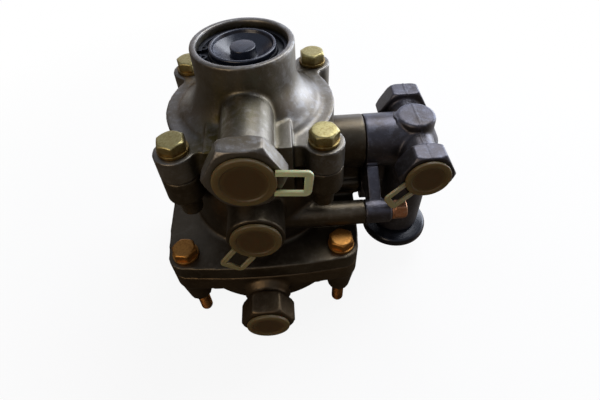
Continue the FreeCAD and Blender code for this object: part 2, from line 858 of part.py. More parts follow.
def bolt(name, kind, length, spot, way, turn, point=1.0, thread=None):
    """Hex head bolt; spot is the middle of the head's underside.

    A thread length gives the last stretch of the shank the thread's own radius.
    """
    back = {"down": "up", "left": "right"}[way]
    corner = kind.flats / math.sqrt(3)
    crown = s.head_chamfer
    bar = prism(name + "_bar", kind.flats, kind.head_height, spot, back, turn)
    blank = turned(name + "_blank", [
        (0, 0), (corner + 1, 0), (corner + 1, kind.head_height - crown * 1.35),
        (kind.flats / 2 - 0.3, kind.head_height), (0, kind.head_height)], spot, back)
    head = common(name + "_head", bar, blank)
    tip = s.thread_radius if thread else kind.radius
    outline = [(0, -0.5), (kind.radius, -0.5)]
    if thread:
        outline += [(kind.radius, length - thread), (tip, length - thread)]
    outline += [(tip, length - point), (tip - point * 0.7, length), (0, length)]
    shank = turned(name + "_shank", outline, spot, way)
    return fuse(name, [head, shank])


def lock_washer(name, kind, spot, way, turn):
    """Spring lock washer with a slit."""
    ring = turned(name + "_ring", [
        (kind.radius + 0.2, 0), (kind.washer_radius, 0),
        (kind.washer_radius, s.washer_thickness), (kind.radius + 0.2, s.washer_thickness)],
        spot, way)
    slit = box(name + "_slit", (0, -s.washer_slit / 2, -1),
               (kind.washer_radius + 1, s.washer_slit / 2, s.washer_thickness + 1))
    rotation = WAYS[way].multiply(Rotation(Vector(0, 0, 1), turn))
    shift = rotation.multVec(Vector(0, -s.washer_slit.value / 2, -1))
    spot = [as_size(value) for value in spot]
    put(slit, [value + offset for value, offset in zip(spot, shift)], rotation)
    return cut(name, ring, [slit])


def make_upper_fasteners():
    bolts = []
    washers = []
    turns = (10, 24, 4, 17)
    for number, (spot, turn) in enumerate(zip(corners(upper_bolt_offset, disc_top), turns), 1):
        washers.append(lock_washer(f"upper_washer_{number}", FLANGE_BOLT, spot, "up", turn * 7))
        head = moved(spot, "up", s.washer_thickness)
        bolts.append(bolt(f"upper_bolt_{number}", FLANGE_BOLT, s.upper_bolt_length, head,
                          "down", turn))
    return [group("upper_bolts", bolts), group("upper_washers", washers)]


def make_lower_fasteners():
    bolts = []
    washers = []
    turns = (21, 3, 14, 27)
    length = base_top + s.washer_thickness + s.stud_reach
    for number, (spot, turn) in enumerate(zip(corners(lower_bolt_offset, base_top), turns), 1):
        washers.append(lock_washer(f"lower_washer_{number}", FLANGE_BOLT, spot, "up", turn * 5))
        head = moved(spot, "up", s.washer_thickness)
        bolts.append(bolt(f"lower_bolt_{number}", FLANGE_BOLT, length, head, "down", turn,
                          s.stud_tip, s.stud_reach))
    return [group("lower_bolts", bolts), group("lower_washers", washers)]


def make_side_fasteners():
    screws = []
    washers = []
    face = side_joint + s.arm_end
    for number, (side, turn) in enumerate(((-1, 0), (1, 20)), 1):
        spot = (face, s.side_shift + s.arm_offset * side, arm_height)
        washers.append(lock_washer(f"side_washer_{number}", SIDE_SCREW, spot, "right",
                                   60 * number))
        head = moved(spot, "right", s.washer_thickness)
        screws.append(bolt(f"side_screw_{number}", SIDE_SCREW, s.side_screw_length, head,
                           "left", turn))
    return [group("side_screws", screws), group("side_washers", washers)]


# Exhaust set and inlet valve


def make_valve_guide():
    """Black stepped ring: flange, flap seat, spokes, hub and guide sleeve."""
    top = guide_seat + s.guide_flange
    outer = neck_bore - s.guide_clearance
    opening = s.flap_radius - 3.2
    sleeve = s.valve_tube_radius + s.sleeve_wall
    slim = s.small_ring_section
    bore = s.valve_tube_radius + s.running_clearance
    sleeve_bottom = guide_seat - s.guide_depth
    seal_height = guide_seat - s.stem_seal_drop
    rest = rim_top - s.flap_drop - 2.5
    groove = guide_seat + s.guide_groove_rise
    ring = turned("guide_ring", [
        (bore, sleeve_bottom),
        (sleeve, sleeve_bottom),
        (sleeve, guide_seat),
        (outer, guide_seat),
        (outer, groove - s.ring_section),
        (outer - s.ring_section * 2, groove - s.ring_section),
        (outer - s.ring_section * 2, groove + s.ring_section),
        (outer, groove + s.ring_section),
        (outer, top),
        (s.flap_radius + 0.8, top),
        (s.flap_radius + 0.2, rest),
        (s.flap_radius - 1.6, rest),
        (opening, top - 1.5),
        (opening, guide_seat + 3.0),
        (bore, guide_seat - 1.2),
        (bore, seal_height + slim),
        (bore + slim * 2, seal_height + slim),
        (bore + slim * 2, seal_height - slim),
        (bore, seal_height - slim),
    ])
    hub = turned("guide_hub", [
        (s.hub_bore, guide_seat - 1), (s.hub_radius, guide_seat - 1),
        (s.hub_radius, guide_seat + 2.2), (s.hub_bore, guide_seat + 2.2)])
    parts = [ring, hub]
    root = s.hub_radius - 0.8
    for number in range(3):
        spoke = box(f"guide_spoke_{number + 1}", (root, -s.spoke_width / 2, guide_seat),
                    (opening + 0.5, s.spoke_width / 2, guide_seat + 2.0))
        turn = Rotation(Vector(0, 0, 1), 120 * number + 30)
        ahead = turn.multVec(Vector(1, 0, 0))
        aside = turn.multVec(Vector(0, -0.5, 0))
        put(spoke, (root * ahead.x + s.spoke_width * aside.x,
                    root * ahead.y + s.spoke_width * aside.y, guide_seat), turn)
        parts.append(spoke)
    return fuse("valve_guide", parts)


def make_exhaust_flap():
    """Rubber dish with a bead round its rim and a button in its middle."""
    rim = rim_top - s.flap_drop
    wall = s.flap_thickness
    centre = rim - 6.2
    return turned("exhaust_flap", [
        (0, guide_seat - s.flap_barb),
        (1.7, guide_seat - s.flap_barb),
        (3.0, guide_seat - 1.2),
        (1.8, guide_seat - 1.1),
        (1.8, centre - wall),
        (s.flap_button + 1, centre - wall, 30),
        (s.flap_radius - 2.2, rim - 2.4),
        (s.flap_radius, rim - 2.2),
        (s.flap_radius, rim - 0.9, 0.9),
        (s.flap_radius - 0.9, rim, 0.9),
        (s.flap_radius - 2.0, rim - 1.1, -24),
        (s.flap_button + 0.6, centre),
        (s.flap_button, centre + 0.4),
        (s.flap_button, rim - 1.4, 0.5),
        (s.flap_button - 0.5, rim - 0.9),
        (0, rim - 0.9),
    ])


def make_exhaust_circlip():
    """Internal retaining ring with two eared ends and a gap on the left."""
    bottom = guide_seat + s.guide_flange + 0.05
    outer = neck_bore + s.circlip_groove - 0.15
    inner = outer - s.circlip_width
    ring = turned("circlip_ring", [
        (inner, bottom), (outer, bottom), (outer, bottom + s.circlip_thickness - 0.05),
        (inner, bottom + s.circlip_thickness - 0.05)])
    parts = [ring]
    holes = []
    reach = inner - 0.6
    for number, turn in enumerate((170, 196), 1):
        angle = math.radians(turn)
        spot = (reach * math.cos(angle), reach * math.sin(angle), bottom)
        parts.append(cylinder(f"circlip_ear_{number}", 2.1, s.circlip_thickness - 0.05, spot))
        spot = (reach * math.cos(angle), reach * math.sin(angle), bottom - 1)
        holes.append(cylinder(f"circlip_eye_{number}", 0.9, s.circlip_thickness + 2, spot))
    gap = box("circlip_gap", (-outer - 1, -1.6, bottom - 1),
              (-inner + 3.5, 1.6, bottom + s.circlip_thickness + 1))
    turn = Rotation(Vector(0, 0, 1), 3)
    shift = turn.multVec(Vector(-outer.value - 1, -1.6, 0))
    put(gap, (shift.x, shift.y, bottom - 1), turn)
    return cut("exhaust_circlip", fuse("circlip_blank", parts), holes + [gap])


def make_inlet_valve():
    """Hollow valve stem with a head that carries the rubber face."""
    face_top = valve_face_bottom + s.valve_face_thickness
    head_top = face_top + s.valve_head
    tube_top = guide_seat - s.flap_barb - s.stem_gap - s.valve_lift
    stem = turned("inlet_valve", [
        (s.valve_tube_bore, face_top),
        (s.valve_face_radius, face_top),
        (s.valve_face_radius, head_top),
        (s.valve_tube_radius + 1.2, head_top, -1.2),
        (s.valve_tube_radius, head_top + 1.2),
        (s.valve_tube_radius, tube_top),
        (s.valve_tube_bore, tube_top),
    ])
    face = turned("valve_rubber", [
        (s.valve_tube_bore, valve_face_bottom),
        (s.valve_face_radius - 0.3, valve_face_bottom),
        (s.valve_face_radius, valve_face_bottom + 0.4),
        (s.valve_face_radius, face_top),
        (s.valve_tube_bore, face_top),
    ])
    return [stem, face]


def make_valve_spring():
    """Coil spring between the guide flange and the head of the inlet valve."""
    start = valve_face_bottom + s.valve_face_thickness + s.valve_head + s.spring_wire + 0.05
    height = guide_seat - s.spring_wire - 0.05 - start
    radius = (s.valve_tube_radius + s.sleeve_wall + s.valve_face_radius) / 2
    body = doc.addObject("PartDesign::Body", "valve_spring")
    sketch = body.newObject("Sketcher::SketchObject", "spring_section")
    sketch.AttachmentSupport = [(origin_plane(body, "XZ_Plane"), "")]
    sketch.MapMode = "FlatFace"
    wire = Part.Circle(Vector(radius.value, 0, 0), Vector(0, 0, 1), s.spring_wire.value)
    circle = sketch.addGeometry(wire, False)
    sketch.addConstraint(Sketcher.Constraint("PointOnObject", circle, 3, -1))
    for kind, places, size in (("DistanceX", (-1, 1, circle, 3), radius),
                               ("Radius", (circle,), s.spring_wire)):
        number = sketch.addConstraint(Sketcher.Constraint(kind, *places, size.value))
        sketch.setExpression(f"Constraints[{number}]", size.text)
    coil = body.newObject("PartDesign::AdditiveHelix", "spring_coil")
    coil.Profile = sketch
    coil.ReferenceAxis = (sketch, ["V_Axis"])
    coil.Mode = "pitch-height-angle"
    bind(coil, "Pitch", height / s.spring_turns)
    bind(coil, "Height", height)
    return put(body, (0, 0, start))


def make_relay_piston():
    """Stepped piston: control disc, neck, delivery disc and exhaust stem."""
    control_top = s.control_disc_rise + s.control_disc
    delivery = cover_joint + s.control_recess + 7.5
    delivery_top = delivery + s.piston_disc
    control_radius = control_bore - s.piston_clearance
    delivery_radius = piston_bore - s.piston_clearance
    groove = s.ring_section * 2
    nose = valve_face_bottom - s.exhaust_gap
    middle = s.control_disc_rise + s.control_disc / 2
    upper = delivery + s.piston_disc / 2
    return turned("relay_piston", [
        (0, s.control_disc_rise),
        (control_radius, s.control_disc_rise),
        (control_radius, middle - s.ring_section),
        (control_radius - groove, middle - s.ring_section),
        (control_radius - groove, middle + s.ring_section),
        (control_radius, middle + s.ring_section),
        (control_radius, control_top),
        (s.piston_neck, control_top),
        (s.piston_neck, delivery),
        (delivery_radius, delivery),
        (delivery_radius, upper - s.ring_section),
        (delivery_radius - groove, upper - s.ring_section),
        (delivery_radius - groove, upper + s.ring_section),
        (delivery_radius, upper + s.ring_section),
        (delivery_radius, delivery_top),
        (s.piston_stem + 4, delivery_top),
        (s.piston_stem + 1, delivery_top + 12),
        (s.piston_stem, nose - 1),
        (s.piston_stem, nose),
        (s.valve_tube_bore + 0.3, nose),
        (s.valve_tube_bore + 0.3, nose - 6),
        (0, nose - 6),
    ])


def make_seals():
    """O-rings of the joints, the guide, the piston and the release spool."""
    section = s.ring_section
    slim = section - 0.02
    half_gap = 0.1
    control = control_bore - s.piston_clearance
    delivery = piston_bore - s.piston_clearance
    upper = cover_joint + s.control_recess + 7.5 + s.piston_disc / 2
    rings = [
        torus("upper_joint_seal", s.body_radius - 5.5, section - 0.05,
              (0, 0, upper_joint - section + 0.03)),
        torus("cover_joint_seal", control_bore + 4.5, section - 0.05,
              (0, 0, cover_joint - section + 0.03)),
        torus("control_piston_seal", control + half_gap - slim, slim,
              (0, 0, s.control_disc_rise + s.control_disc / 2)),
        torus("delivery_piston_seal", delivery + half_gap - slim, slim, (0, 0, upper)),
        torus("guide_seal", neck_bore - section, slim,
              (0, 0, guide_seat + s.guide_groove_rise)),
        torus("valve_stem_seal", s.valve_tube_radius + s.small_ring_section + 0.03,
              s.small_ring_section - 0.02,
              (0, 0, guide_seat - s.stem_seal_drop)),
        torus("side_joint_seal", s.large_passage + 3.5, section - 0.05,
              (side_joint + section - 0.03, s.side_shift, side_tube_height), "right"),
    ]
    return rings


# Release valve


def make_release_valve():
    """Spool with its seals, the knob under it, the bush and its ring."""
    axis = (release_axis, s.side_shift)
    land = s.release_bore - s.spool_clearance
    bush_top = s.release_foot + s.bush_height
    spool_bottom = bush_top + s.knob_travel + 1.1
    spool_top = release_top - 9
    knob_top = s.release_foot - s.knob_gap
    stem_end = knob_top - s.knob_seat
    groove = s.ring_section * 2
    lower_groove = spool_bottom + s.spool_groove_rise
    upper_groove = side_tube_height - s.side_tube_radius - 3
    waist_low = side_tube_height - 9
    waist_high = side_tube_height + 5
    spool = turned("release_spool", [
        (0, stem_end),
        (s.spool_stem, stem_end),
        (s.spool_stem, spool_bottom),
        (land, spool_bottom),
        (land, lower_groove - s.ring_section),
        (land - groove, lower_groove - s.ring_section),
        (land - groove, lower_groove + s.ring_section),
        (land, lower_groove + s.ring_section),
        (land, upper_groove - s.ring_section),
        (land - groove, upper_groove - s.ring_section),
        (land - groove, upper_groove + s.ring_section),
        (land, upper_groove + s.ring_section),
        (land, waist_low),
        (land - s.spool_waist, waist_low + s.spool_waist),
        (land - s.spool_waist, waist_high - s.spool_waist),
        (land, waist_high),
        (land, spool_top),
        (0, spool_top),
    ], (*axis, 0))
    seals = group("spool_seals", [
        torus(f"spool_seal_{number}", land - s.ring_section + 0.02, s.ring_section - 0.02,
              (*axis, height))
        for number, height in enumerate((lower_groove, upper_groove), 1)])
    height = s.knob_height
    rim = height * 0.45
    stem_hole = s.spool_stem + s.thread_clearance
    knob = turned("release_knob", [
        (0, 0),
        (s.knob_radius - rim, 0, rim),
        (s.knob_radius, rim, rim),
        (s.knob_radius - rim * 0.5, rim * 1.87),
        (s.release_radius - 1, height),
        (stem_hole, height),
        (stem_hole, height - s.knob_seat - 0.1),
        (0, height - s.knob_seat - 0.1),
    ], (*axis, knob_top - height))
    bush_bottom = s.release_foot + s.clip_rise + s.circlip_thickness
    bush_radius = s.release_radius - s.bush_inset - 0.15
    bush_bore = s.spool_stem + s.bolt_clearance
    bush = turned("spool_bush", [
        (bush_bore, bush_bottom),
        (bush_radius, bush_bottom),
        (bush_radius, bush_top),
        (bush_bore, bush_top),
    ], (*axis, 0))
    low = s.release_foot + s.clip_rise + 0.05
    high = low + s.circlip_thickness - 0.1
    ring = turned("bush_clip_ring", [
        (bush_radius - 1.45, low), (bush_radius + 1, low),
        (bush_radius + 1, high), (bush_radius - 1.45, high)], (*axis, 0))
    gap = box("bush_clip_gap", (release_axis, s.side_shift - 2, s.release_foot),
              (release_axis + s.release_radius, s.side_shift + 2, s.release_foot + 4))
    clip = cut("bush_circlip", ring, [gap])
    return [spool, seals, knob, bush, clip]


# Protective caps


def cap(name, flange_radius, thread_radius, mouth, loop=None, loop_turn=0, lean=0):
    """Push-in cap; loop is its pull loop's (length, width), loop_turn from +X."""
    plug_radius = thread_radius - s.cap_grip
    cup = turned(name + "_cup", [
        (0, -1.5),
        (plug_radius - s.cap_wall, -1.5),
        (plug_radius - s.cap_wall, -s.cap_depth),
        (plug_radius - 0.5, -s.cap_depth),
        (plug_radius, -s.cap_depth + 1),
        (plug_radius, 0),
        (flange_radius - 0.4, 0),
        (flange_radius, 0.4),
        (flange_radius, s.cap_flange - 0.9, 0.9),
        (flange_radius - 0.9, s.cap_flange),
        (flange_radius - 3.2, s.cap_flange),
        (flange_radius - 4.0, s.cap_flange - 0.6),
        (0, s.cap_flange - 0.6),
    ], mouth, "front")
    if loop is None:
        cup.Label = name
        return cup
    start = flange_radius - 1.2
    length, width = loop
    half = width / 2
    end = flange_radius + length
    frame = box(name + "_frame", (0, 0, 0), (end - start, width, s.loop_thickness))
    slot = box(name + "_slot", (0, 0, 0),
               (end - start - s.loop_end_bar + 2, width - 2 * s.loop_bar,
                s.loop_thickness + 2))
    turn = WAYS["front"].multiply(Rotation(Vector(0, 0, 1), loop_turn))
    leaning = turn.multiply(Rotation(Vector(0, -1, 0), lean))
    root = turn.multVec(Vector(start.value, 0, 0))
    for thing, low in ((frame, (0, -half, 0.1)), (slot, (-2, -half + s.loop_bar, -1))):
        corner = leaning.multVec(Vector(*[as_size(value).value for value in low]))
        shift = root.add(corner)
        put(thing, [as_size(at) + offset for at, offset in zip(mouth, shift)], leaning)
    doc.recompute()
    soft = rounded(name + "_soft", frame, 1.0,
                   lambda edge: abs(edge.Length - s.loop_thickness.value) < 0.01)
    bail = cut(name + "_bail", soft, [slot])
    whole = fuse(name, [cup, bail])
    return whole


def make_caps():
    axis = (release_axis, s.side_shift - s.side_front_reach, side_port_height)
    large_loop = (s.loop_length, s.loop_width)
    small_loop = (s.small_loop_length, s.small_loop_width)
    return [
        cap("top_port_cap", s.large_cap_radius, s.large_thread_radius,
            (0, -top_port_face, top_port_height), large_loop, -6),
        cap("middle_port_cap", s.large_cap_radius, s.large_thread_radius,
            (-s.middle_port_shift, -middle_port_face, middle_port_height),
            large_loop, -126),
        cap("low_port_cap", s.small_cap_radius, s.small_thread_radius,
            (0, -low_port_face, low_port_height)),
        cap("side_port_cap", s.small_cap_radius, s.small_thread_radius, axis,
            small_loop, -145, s.loop_lean.value),
    ]


# Build, check and write every sub-part

nodes = [make_upper_housing(), make_middle_housing(), make_lower_cover(), make_side_block()]
nodes += make_upper_fasteners() + make_lower_fasteners() + make_side_fasteners()
nodes += [make_valve_guide(), make_exhaust_flap(), make_exhaust_circlip()]
nodes += make_inlet_valve() + [make_valve_spring(), make_relay_piston()]
nodes += make_seals() + make_release_valve() + make_caps()
doc.recompute()

faults = [thing.Label for thing in doc.Objects
          if "Invalid" in thing.State or "Error" in thing.State]
for node in nodes:
    if node.Shape.isNull() or not node.Shape.isValid() or not node.Shape.Solids:
        faults.append(node.Label)
if faults:
    raise RuntimeError("these objects failed: " + ", ".join(faults))

os.makedirs("parts", exist_ok=True)
for node in nodes:
    node.Shape.exportStep(f"parts/{node.Label}.step")
    volume = node.Shape.Volume / 1000
    print(f"{node.Label}: {len(node.Shape.Solids)} solid(s), {volume:.2f} cm3")
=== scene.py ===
import math

import bmesh
import bpy
import numpy as np
from mathutils import Matrix, Vector


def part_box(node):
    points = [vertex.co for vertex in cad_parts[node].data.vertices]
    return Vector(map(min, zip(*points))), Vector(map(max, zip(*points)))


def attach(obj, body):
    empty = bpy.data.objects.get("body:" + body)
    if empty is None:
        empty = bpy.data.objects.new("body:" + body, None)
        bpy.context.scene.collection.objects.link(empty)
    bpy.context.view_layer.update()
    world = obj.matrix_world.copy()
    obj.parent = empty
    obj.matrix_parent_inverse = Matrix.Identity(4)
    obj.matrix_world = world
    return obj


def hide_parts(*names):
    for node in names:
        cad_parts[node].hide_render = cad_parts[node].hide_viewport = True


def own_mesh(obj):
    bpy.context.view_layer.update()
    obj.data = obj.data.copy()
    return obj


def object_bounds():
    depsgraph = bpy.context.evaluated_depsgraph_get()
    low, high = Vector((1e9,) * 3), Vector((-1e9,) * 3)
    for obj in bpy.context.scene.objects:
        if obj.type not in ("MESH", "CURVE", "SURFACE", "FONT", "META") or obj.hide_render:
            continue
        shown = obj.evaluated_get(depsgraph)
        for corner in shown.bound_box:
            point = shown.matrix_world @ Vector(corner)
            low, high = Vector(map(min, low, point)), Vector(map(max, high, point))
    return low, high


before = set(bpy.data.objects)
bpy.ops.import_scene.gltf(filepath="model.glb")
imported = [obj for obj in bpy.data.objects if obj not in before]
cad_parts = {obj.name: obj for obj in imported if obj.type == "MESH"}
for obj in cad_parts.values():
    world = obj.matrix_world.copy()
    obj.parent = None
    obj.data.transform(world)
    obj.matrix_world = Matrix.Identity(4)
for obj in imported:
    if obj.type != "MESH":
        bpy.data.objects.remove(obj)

cadLow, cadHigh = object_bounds()
mm = 0.001
print("frame loaded:", len(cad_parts), "nodes")

# Places on the valve, in millimetres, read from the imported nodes

def nodeBox(name):
    low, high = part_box(name)
    return np.array(low) / mm, np.array(high) / mm


def nodePoints(name):
    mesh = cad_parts[name].data
    flat = np.empty(len(mesh.vertices) * 3)
    mesh.vertices.foreach_get("co", flat)
    return flat.reshape(-1, 3) / mm


def quadrantBoxes(name):
    # the boxes of four like pieces that stand in the four corners round the main axis
    points = nodePoints(name)
    quarter = (points[:, 0] > 0) + 2 * (points[:, 1] > 0)
    return [(points[quarter == at].min(0), points[quarter == at].max(0)) for at in range(4)]


def plugMouth(name):
    # middle of a cap's plug, on the plane that its flange lies against
    points = nodePoints(name)
    deepest = points[:, 1].max()
    ring = points[points[:, 1] > deepest - 0.2]
    centre = (ring.min(0) + ring.max(0)) / 2
    return np.array([centre[0], deepest - capDepth, centre[2]])


capDepth = 9.0
rimTop = nodeBox("upper_housing")[1][2]
floorHeight = cadLow[2]
sideAxis = np.mean(nodeBox("release_knob"), axis=0)  # the release valve's upright axis
sideJoint = nodeBox("middle_housing")[1][0]
armHeight = np.mean(nodeBox("side_screws"), axis=0)[2]
crownTop = nodeBox("side_block")[1][2]


# Colours and nodes

def linear(hexText):
    parts = np.array([int(hexText[at:at + 2], 16) for at in (1, 3, 5)]) / 255
    bent = np.where(parts <= 0.04045, parts / 12.92, ((parts + 0.055) / 1.055) ** 2.4)
    return (*bent.tolist(), 1.0)


def addNode(tree, kind, settings=None, **links):
    node = tree.nodes.new(kind)
    for name, value in (settings or {}).items():
        if name[0].islower():
            setattr(node, name, value)
        else:
            node.inputs[name].default_value = value
    for name, source in links.items():
        place = int(name[1:]) if name[0] == "i" and name[1:].isdigit() else name.replace("_", " ")
        tree.links.new(source, node.inputs[place])
    return node


def startMaterial(name):
    material = bpy.data.materials.new(name)
    material.use_nodes = True
    tree = material.node_tree
    tree.nodes.clear()
    place = addNode(tree, "ShaderNodeTexCoord").outputs["Object"]
    return material, tree, place


def endMaterial(tree, shader):
    output = addNode(tree, "ShaderNodeOutputMaterial")
    tree.links.new(shader, output.inputs["Surface"])


def perMillimetre(size):
    return 1 / (size * mm)  # a pattern scale that gives features of that size


def noiseOf(tree, place, size, detail=3.0, rough=0.55):
    settings = {"Scale": perMillimetre(size), "Detail": detail, "Roughness": rough}
    return addNode(tree, "ShaderNodeTexNoise", settings, Vector=place).outputs["Fac"]


def spread(tree, value, low, high, fromLow=0.3, fromHigh=0.7):
    settings = {"From Min": fromLow, "From Max": fromHigh, "To Min": low, "To Max": high}
    return addNode(tree, "ShaderNodeMapRange", settings, Value=value).outputs["Result"]


def blend(tree, factor, first, second):
    mix = addNode(tree, "ShaderNodeMix", {"data_type": "RGBA"})
    tree.links.new(factor, mix.inputs["Factor"])
    for place, source in ((6, first), (7, second)):
        if isinstance(source, tuple):
            mix.inputs[place].default_value = source
        else:
            tree.links.new(source, mix.inputs[place])
    return mix.outputs[2]


def bumpOf(tree, height, depth, strength=1.0, normal=None):
    node = addNode(tree, "ShaderNodeBump", {"Distance": depth * mm, "Strength": strength},
                   Height=height)
    if normal is not None:
        tree.links.new(normal, node.inputs["Normal"])
    return node.outputs["Normal"]


# Materials

# Cast aluminium: shot-blasted, so a fine even grain and broad soft highlights, handled
# and oiled, so brighter in pale speckles where hands and the blast rubbed it. The hollows go
# brown, partly oil and partly painted shade
castFinish = {
    "blotch": 17.0, "speckle": 3.6, "grain": 0.5, "dimple": 1.2, "hollow": 10.0,
    "grainDepth": 0.05, "dimpleDepth": 0.045, "metallic": 0.9, "rough": (0.33, 0.47),
}


def castAluminium(name, base, dark, pale, stainAndShade, oily=None):
    # oily: middle and reach of a patch where old oil has dried to an olive mottle
    finish = castFinish
    material, tree, place = startMaterial(name)
    blotch = noiseOf(tree, place, finish["blotch"], 4.0)
    small = noiseOf(tree, place, finish["speckle"], 5.0, 0.65)
    grain = noiseOf(tree, place, finish["grain"], 2.0)
    dimple = addNode(tree, "ShaderNodeTexVoronoi", {"Scale": perMillimetre(finish["dimple"])},
                     Vector=place).outputs["Distance"]
    colour = blend(tree, spread(tree, blotch, 0, 0.8), linear(base), linear(dark))
    colour = blend(tree, spread(tree, small, 0, 0.45, 0.5, 0.75), colour, linear(pale))
    # painted shade: where ambient occlusion finds a hollow, the colour goes to stainAndShade,
    # partly old oil and partly the shade that falls there
    hollow = addNode(tree, "ShaderNodeAmbientOcclusion",
                     {"Distance": finish["hollow"] * mm, "samples": 8}).outputs["AO"]
    broken = addNode(tree, "ShaderNodeMath", {"operation": "SUBTRACT"}, i0=hollow,
                     i1=spread(tree, small, -0.28, 0.22)).outputs["Value"]
    colour = blend(tree, spread(tree, broken, 0.92, 0.0, 0.30, 0.88), colour, linear(stainAndShade))
    if oily:
        shift = addNode(tree, "ShaderNodeVectorMath", {"operation": "DISTANCE"}, i0=place)
        shift.inputs[1].default_value = np.array(oily[0]) * mm
        near = spread(tree, shift.outputs["Value"], 1, 0, oily[1] * 0.35 * mm, oily[1] * mm)
        patch = addNode(tree, "ShaderNodeMath", {"operation": "MULTIPLY"}, i0=near,
                        i1=spread(tree, small, 0.35, 1.0, 0.38, 0.58)).outputs["Value"]
        colour = blend(tree, patch, colour, linear(stainAndShade))
    colour = blend(tree, spread(tree, grain, 0, 0.25, 0.4, 0.8), colour, linear(dark))
    normal = bumpOf(tree, grain, finish["grainDepth"])
    normal = bumpOf(tree, dimple, finish["dimpleDepth"], 0.6, normal)
    shader = addNode(tree, "ShaderNodeBsdfPrincipled", {"Metallic": finish["metallic"]},
                     Base_Color=colour, Normal=normal,
                     Roughness=spread(tree, small, *finish["rough"]))
    endMaterial(tree, shader.outputs["BSDF"])
    return material


# Zinc plate under yellow chromate: a thin iridescent film in patches. The colour also runs with
# height as painted light: lit tops, lower faces painted darker in shade on the bolts and paler
# with the floor's reflection on the side screws; the base metal's grain shows through as a fine
# bump
zincFinish = {"patch": 3.2, "film": 1.1, "grain": 0.5, "grainDepth": 0.03, "metallic": 0.85,
              "rough": (0.48, 0.29)}


def chromatedZinc(name, upperPaintedLight, film, lowerPaintedLight, low, high):
    # the colour goes from lowerPaintedLight to upperPaintedLight between the heights low and
    # high, painted light and shade
    finish = zincFinish
    material, tree, place = startMaterial(name)
    height = addNode(tree, "ShaderNodeSeparateXYZ", Vector=place).outputs["Z"]
    rise = addNode(tree, "ShaderNodeMapRange", {"From Min": low * mm, "From Max": high * mm},
                   Value=height).outputs["Result"]
    patch = noiseOf(tree, place, finish["patch"], 4.0, 0.6)
    mixed = addNode(tree, "ShaderNodeMath", {"operation": "ADD", "use_clamp": True}, i0=rise,
                    i1=spread(tree, patch, -0.35, 0.3)).outputs["Value"]
    colour = blend(tree, mixed, linear(lowerPaintedLight), linear(upperPaintedLight))
    fine = noiseOf(tree, place, finish["film"], 3.0)
    colour = blend(tree, spread(tree, fine, 0, 0.7, 0.45, 0.7), colour, linear(film))
    grain = noiseOf(tree, place, finish["grain"], 2.0)
    shader = addNode(tree, "ShaderNodeBsdfPrincipled", {"Metallic": finish["metallic"]},
                     Base_Color=colour, Normal=bumpOf(tree, grain, finish["grainDepth"], 0.7),
                     Roughness=spread(tree, patch, *finish["rough"]))
    endMaterial(tree, shader.outputs["BSDF"])
    return material


# Polyethylene: injection moulded, waxy and translucent, so light bleeds into its edges. A cap's
# browner middle is painted shade: the dark bore behind its thin web, put on as colour
plasticFinish = {"shade": 6.0, "cloud": 2.4, "ripple": 1.6, "rippleDepth": 0.06, "rough": 0.42,
                 "bleed": 2.0, "bleedShare": 0.35, "ior": 1.51}


def polyethylene(name, thin, thick, centre=None, webRadius=0, edgeRadius=0):
    # centre: of a cap, whose colour goes from thin, the painted shade of the bore behind the web,
    # to thick between the two radii
    finish = plasticFinish
    material, tree, place = startMaterial(name)
    if centre is None:
        shade = spread(tree, noiseOf(tree, place, finish["shade"]), 0.7, 1.0)
    else:
        shift = addNode(tree, "ShaderNodeVectorMath", {"operation": "SUBTRACT"}, i0=place)
        shift.inputs[1].default_value = np.array(centre) * mm
        flat = addNode(tree, "ShaderNodeVectorMath", {"operation": "MULTIPLY"},
                       i0=shift.outputs["Vector"])
        flat.inputs[1].default_value = (1, 0, 1)
        reach = addNode(tree, "ShaderNodeVectorMath", {"operation": "LENGTH"},
                        i0=flat.outputs["Vector"]).outputs["Value"]
        shade = addNode(tree, "ShaderNodeMapRange",
                        {"From Min": webRadius * mm, "From Max": edgeRadius * mm},
                        Value=reach).outputs["Result"]
    colour = blend(tree, shade, linear(thin), linear(thick))
    cloud = noiseOf(tree, place, finish["cloud"], 3.0)
    colour = blend(tree, spread(tree, cloud, 0, 0.22), colour, linear(thin))
    normal = bumpOf(tree, noiseOf(tree, place, finish["ripple"], 3.0), finish["rippleDepth"], 0.8)
    shader = addNode(tree, "ShaderNodeBsdfPrincipled",
                     {"IOR": finish["ior"], "Subsurface Weight": finish["bleedShare"],
                      "Subsurface Scale": finish["bleed"] * mm, "Roughness": finish["rough"]},
                     Base_Color=colour, Normal=normal)
    endMaterial(tree, shader.outputs["BSDF"])
    return material


# Nitrile rubber: moulded against a polished tool, so near black with a soft cool sheen
rubberFinish = {"dust": 5.0, "ripple": 0.9, "rippleDepth": 0.012, "rough": (0.24, 0.44)}


def nitrileRubber(name):
    finish = rubberFinish
    material, tree, place = startMaterial(name)
    dust = spread(tree, noiseOf(tree, place, finish["dust"], 4.0, 0.65), 0, 0.5, 0.45, 0.75)
    colour = blend(tree, dust, linear("#131824"), linear("#283042"))
    normal = bumpOf(tree, noiseOf(tree, place, finish["ripple"], 2.0), finish["rippleDepth"], 0.6)
    shader = addNode(tree, "ShaderNodeBsdfPrincipled", {"IOR": 1.52, "Specular IOR Level": 0.8},
                     Base_Color=colour, Normal=normal,
                     Roughness=spread(tree, dust, *finish["rough"], 0, 0.5))
    endMaterial(tree, shader.outputs["BSDF"])
    return material


# Glass-filled nylon: black, moulded, slightly grainy from the fibres at its surface
def blackNylon(name, rough=0.38):
    material, tree, place = startMaterial(name)
    fibre = noiseOf(tree, place, 0.8, 4.0, 0.7)
    colour = blend(tree, spread(tree, fibre, 0, 0.4), linear("#0e1014"), linear("#24272d"))
    normal = bumpOf(tree, fibre, 0.03, 0.8)
    shader = addNode(tree, "ShaderNodeBsdfPrincipled", {"IOR": 1.53, "Roughness": rough},
                     Base_Color=colour, Normal=normal)
    endMaterial(tree, shader.outputs["BSDF"])
    return material


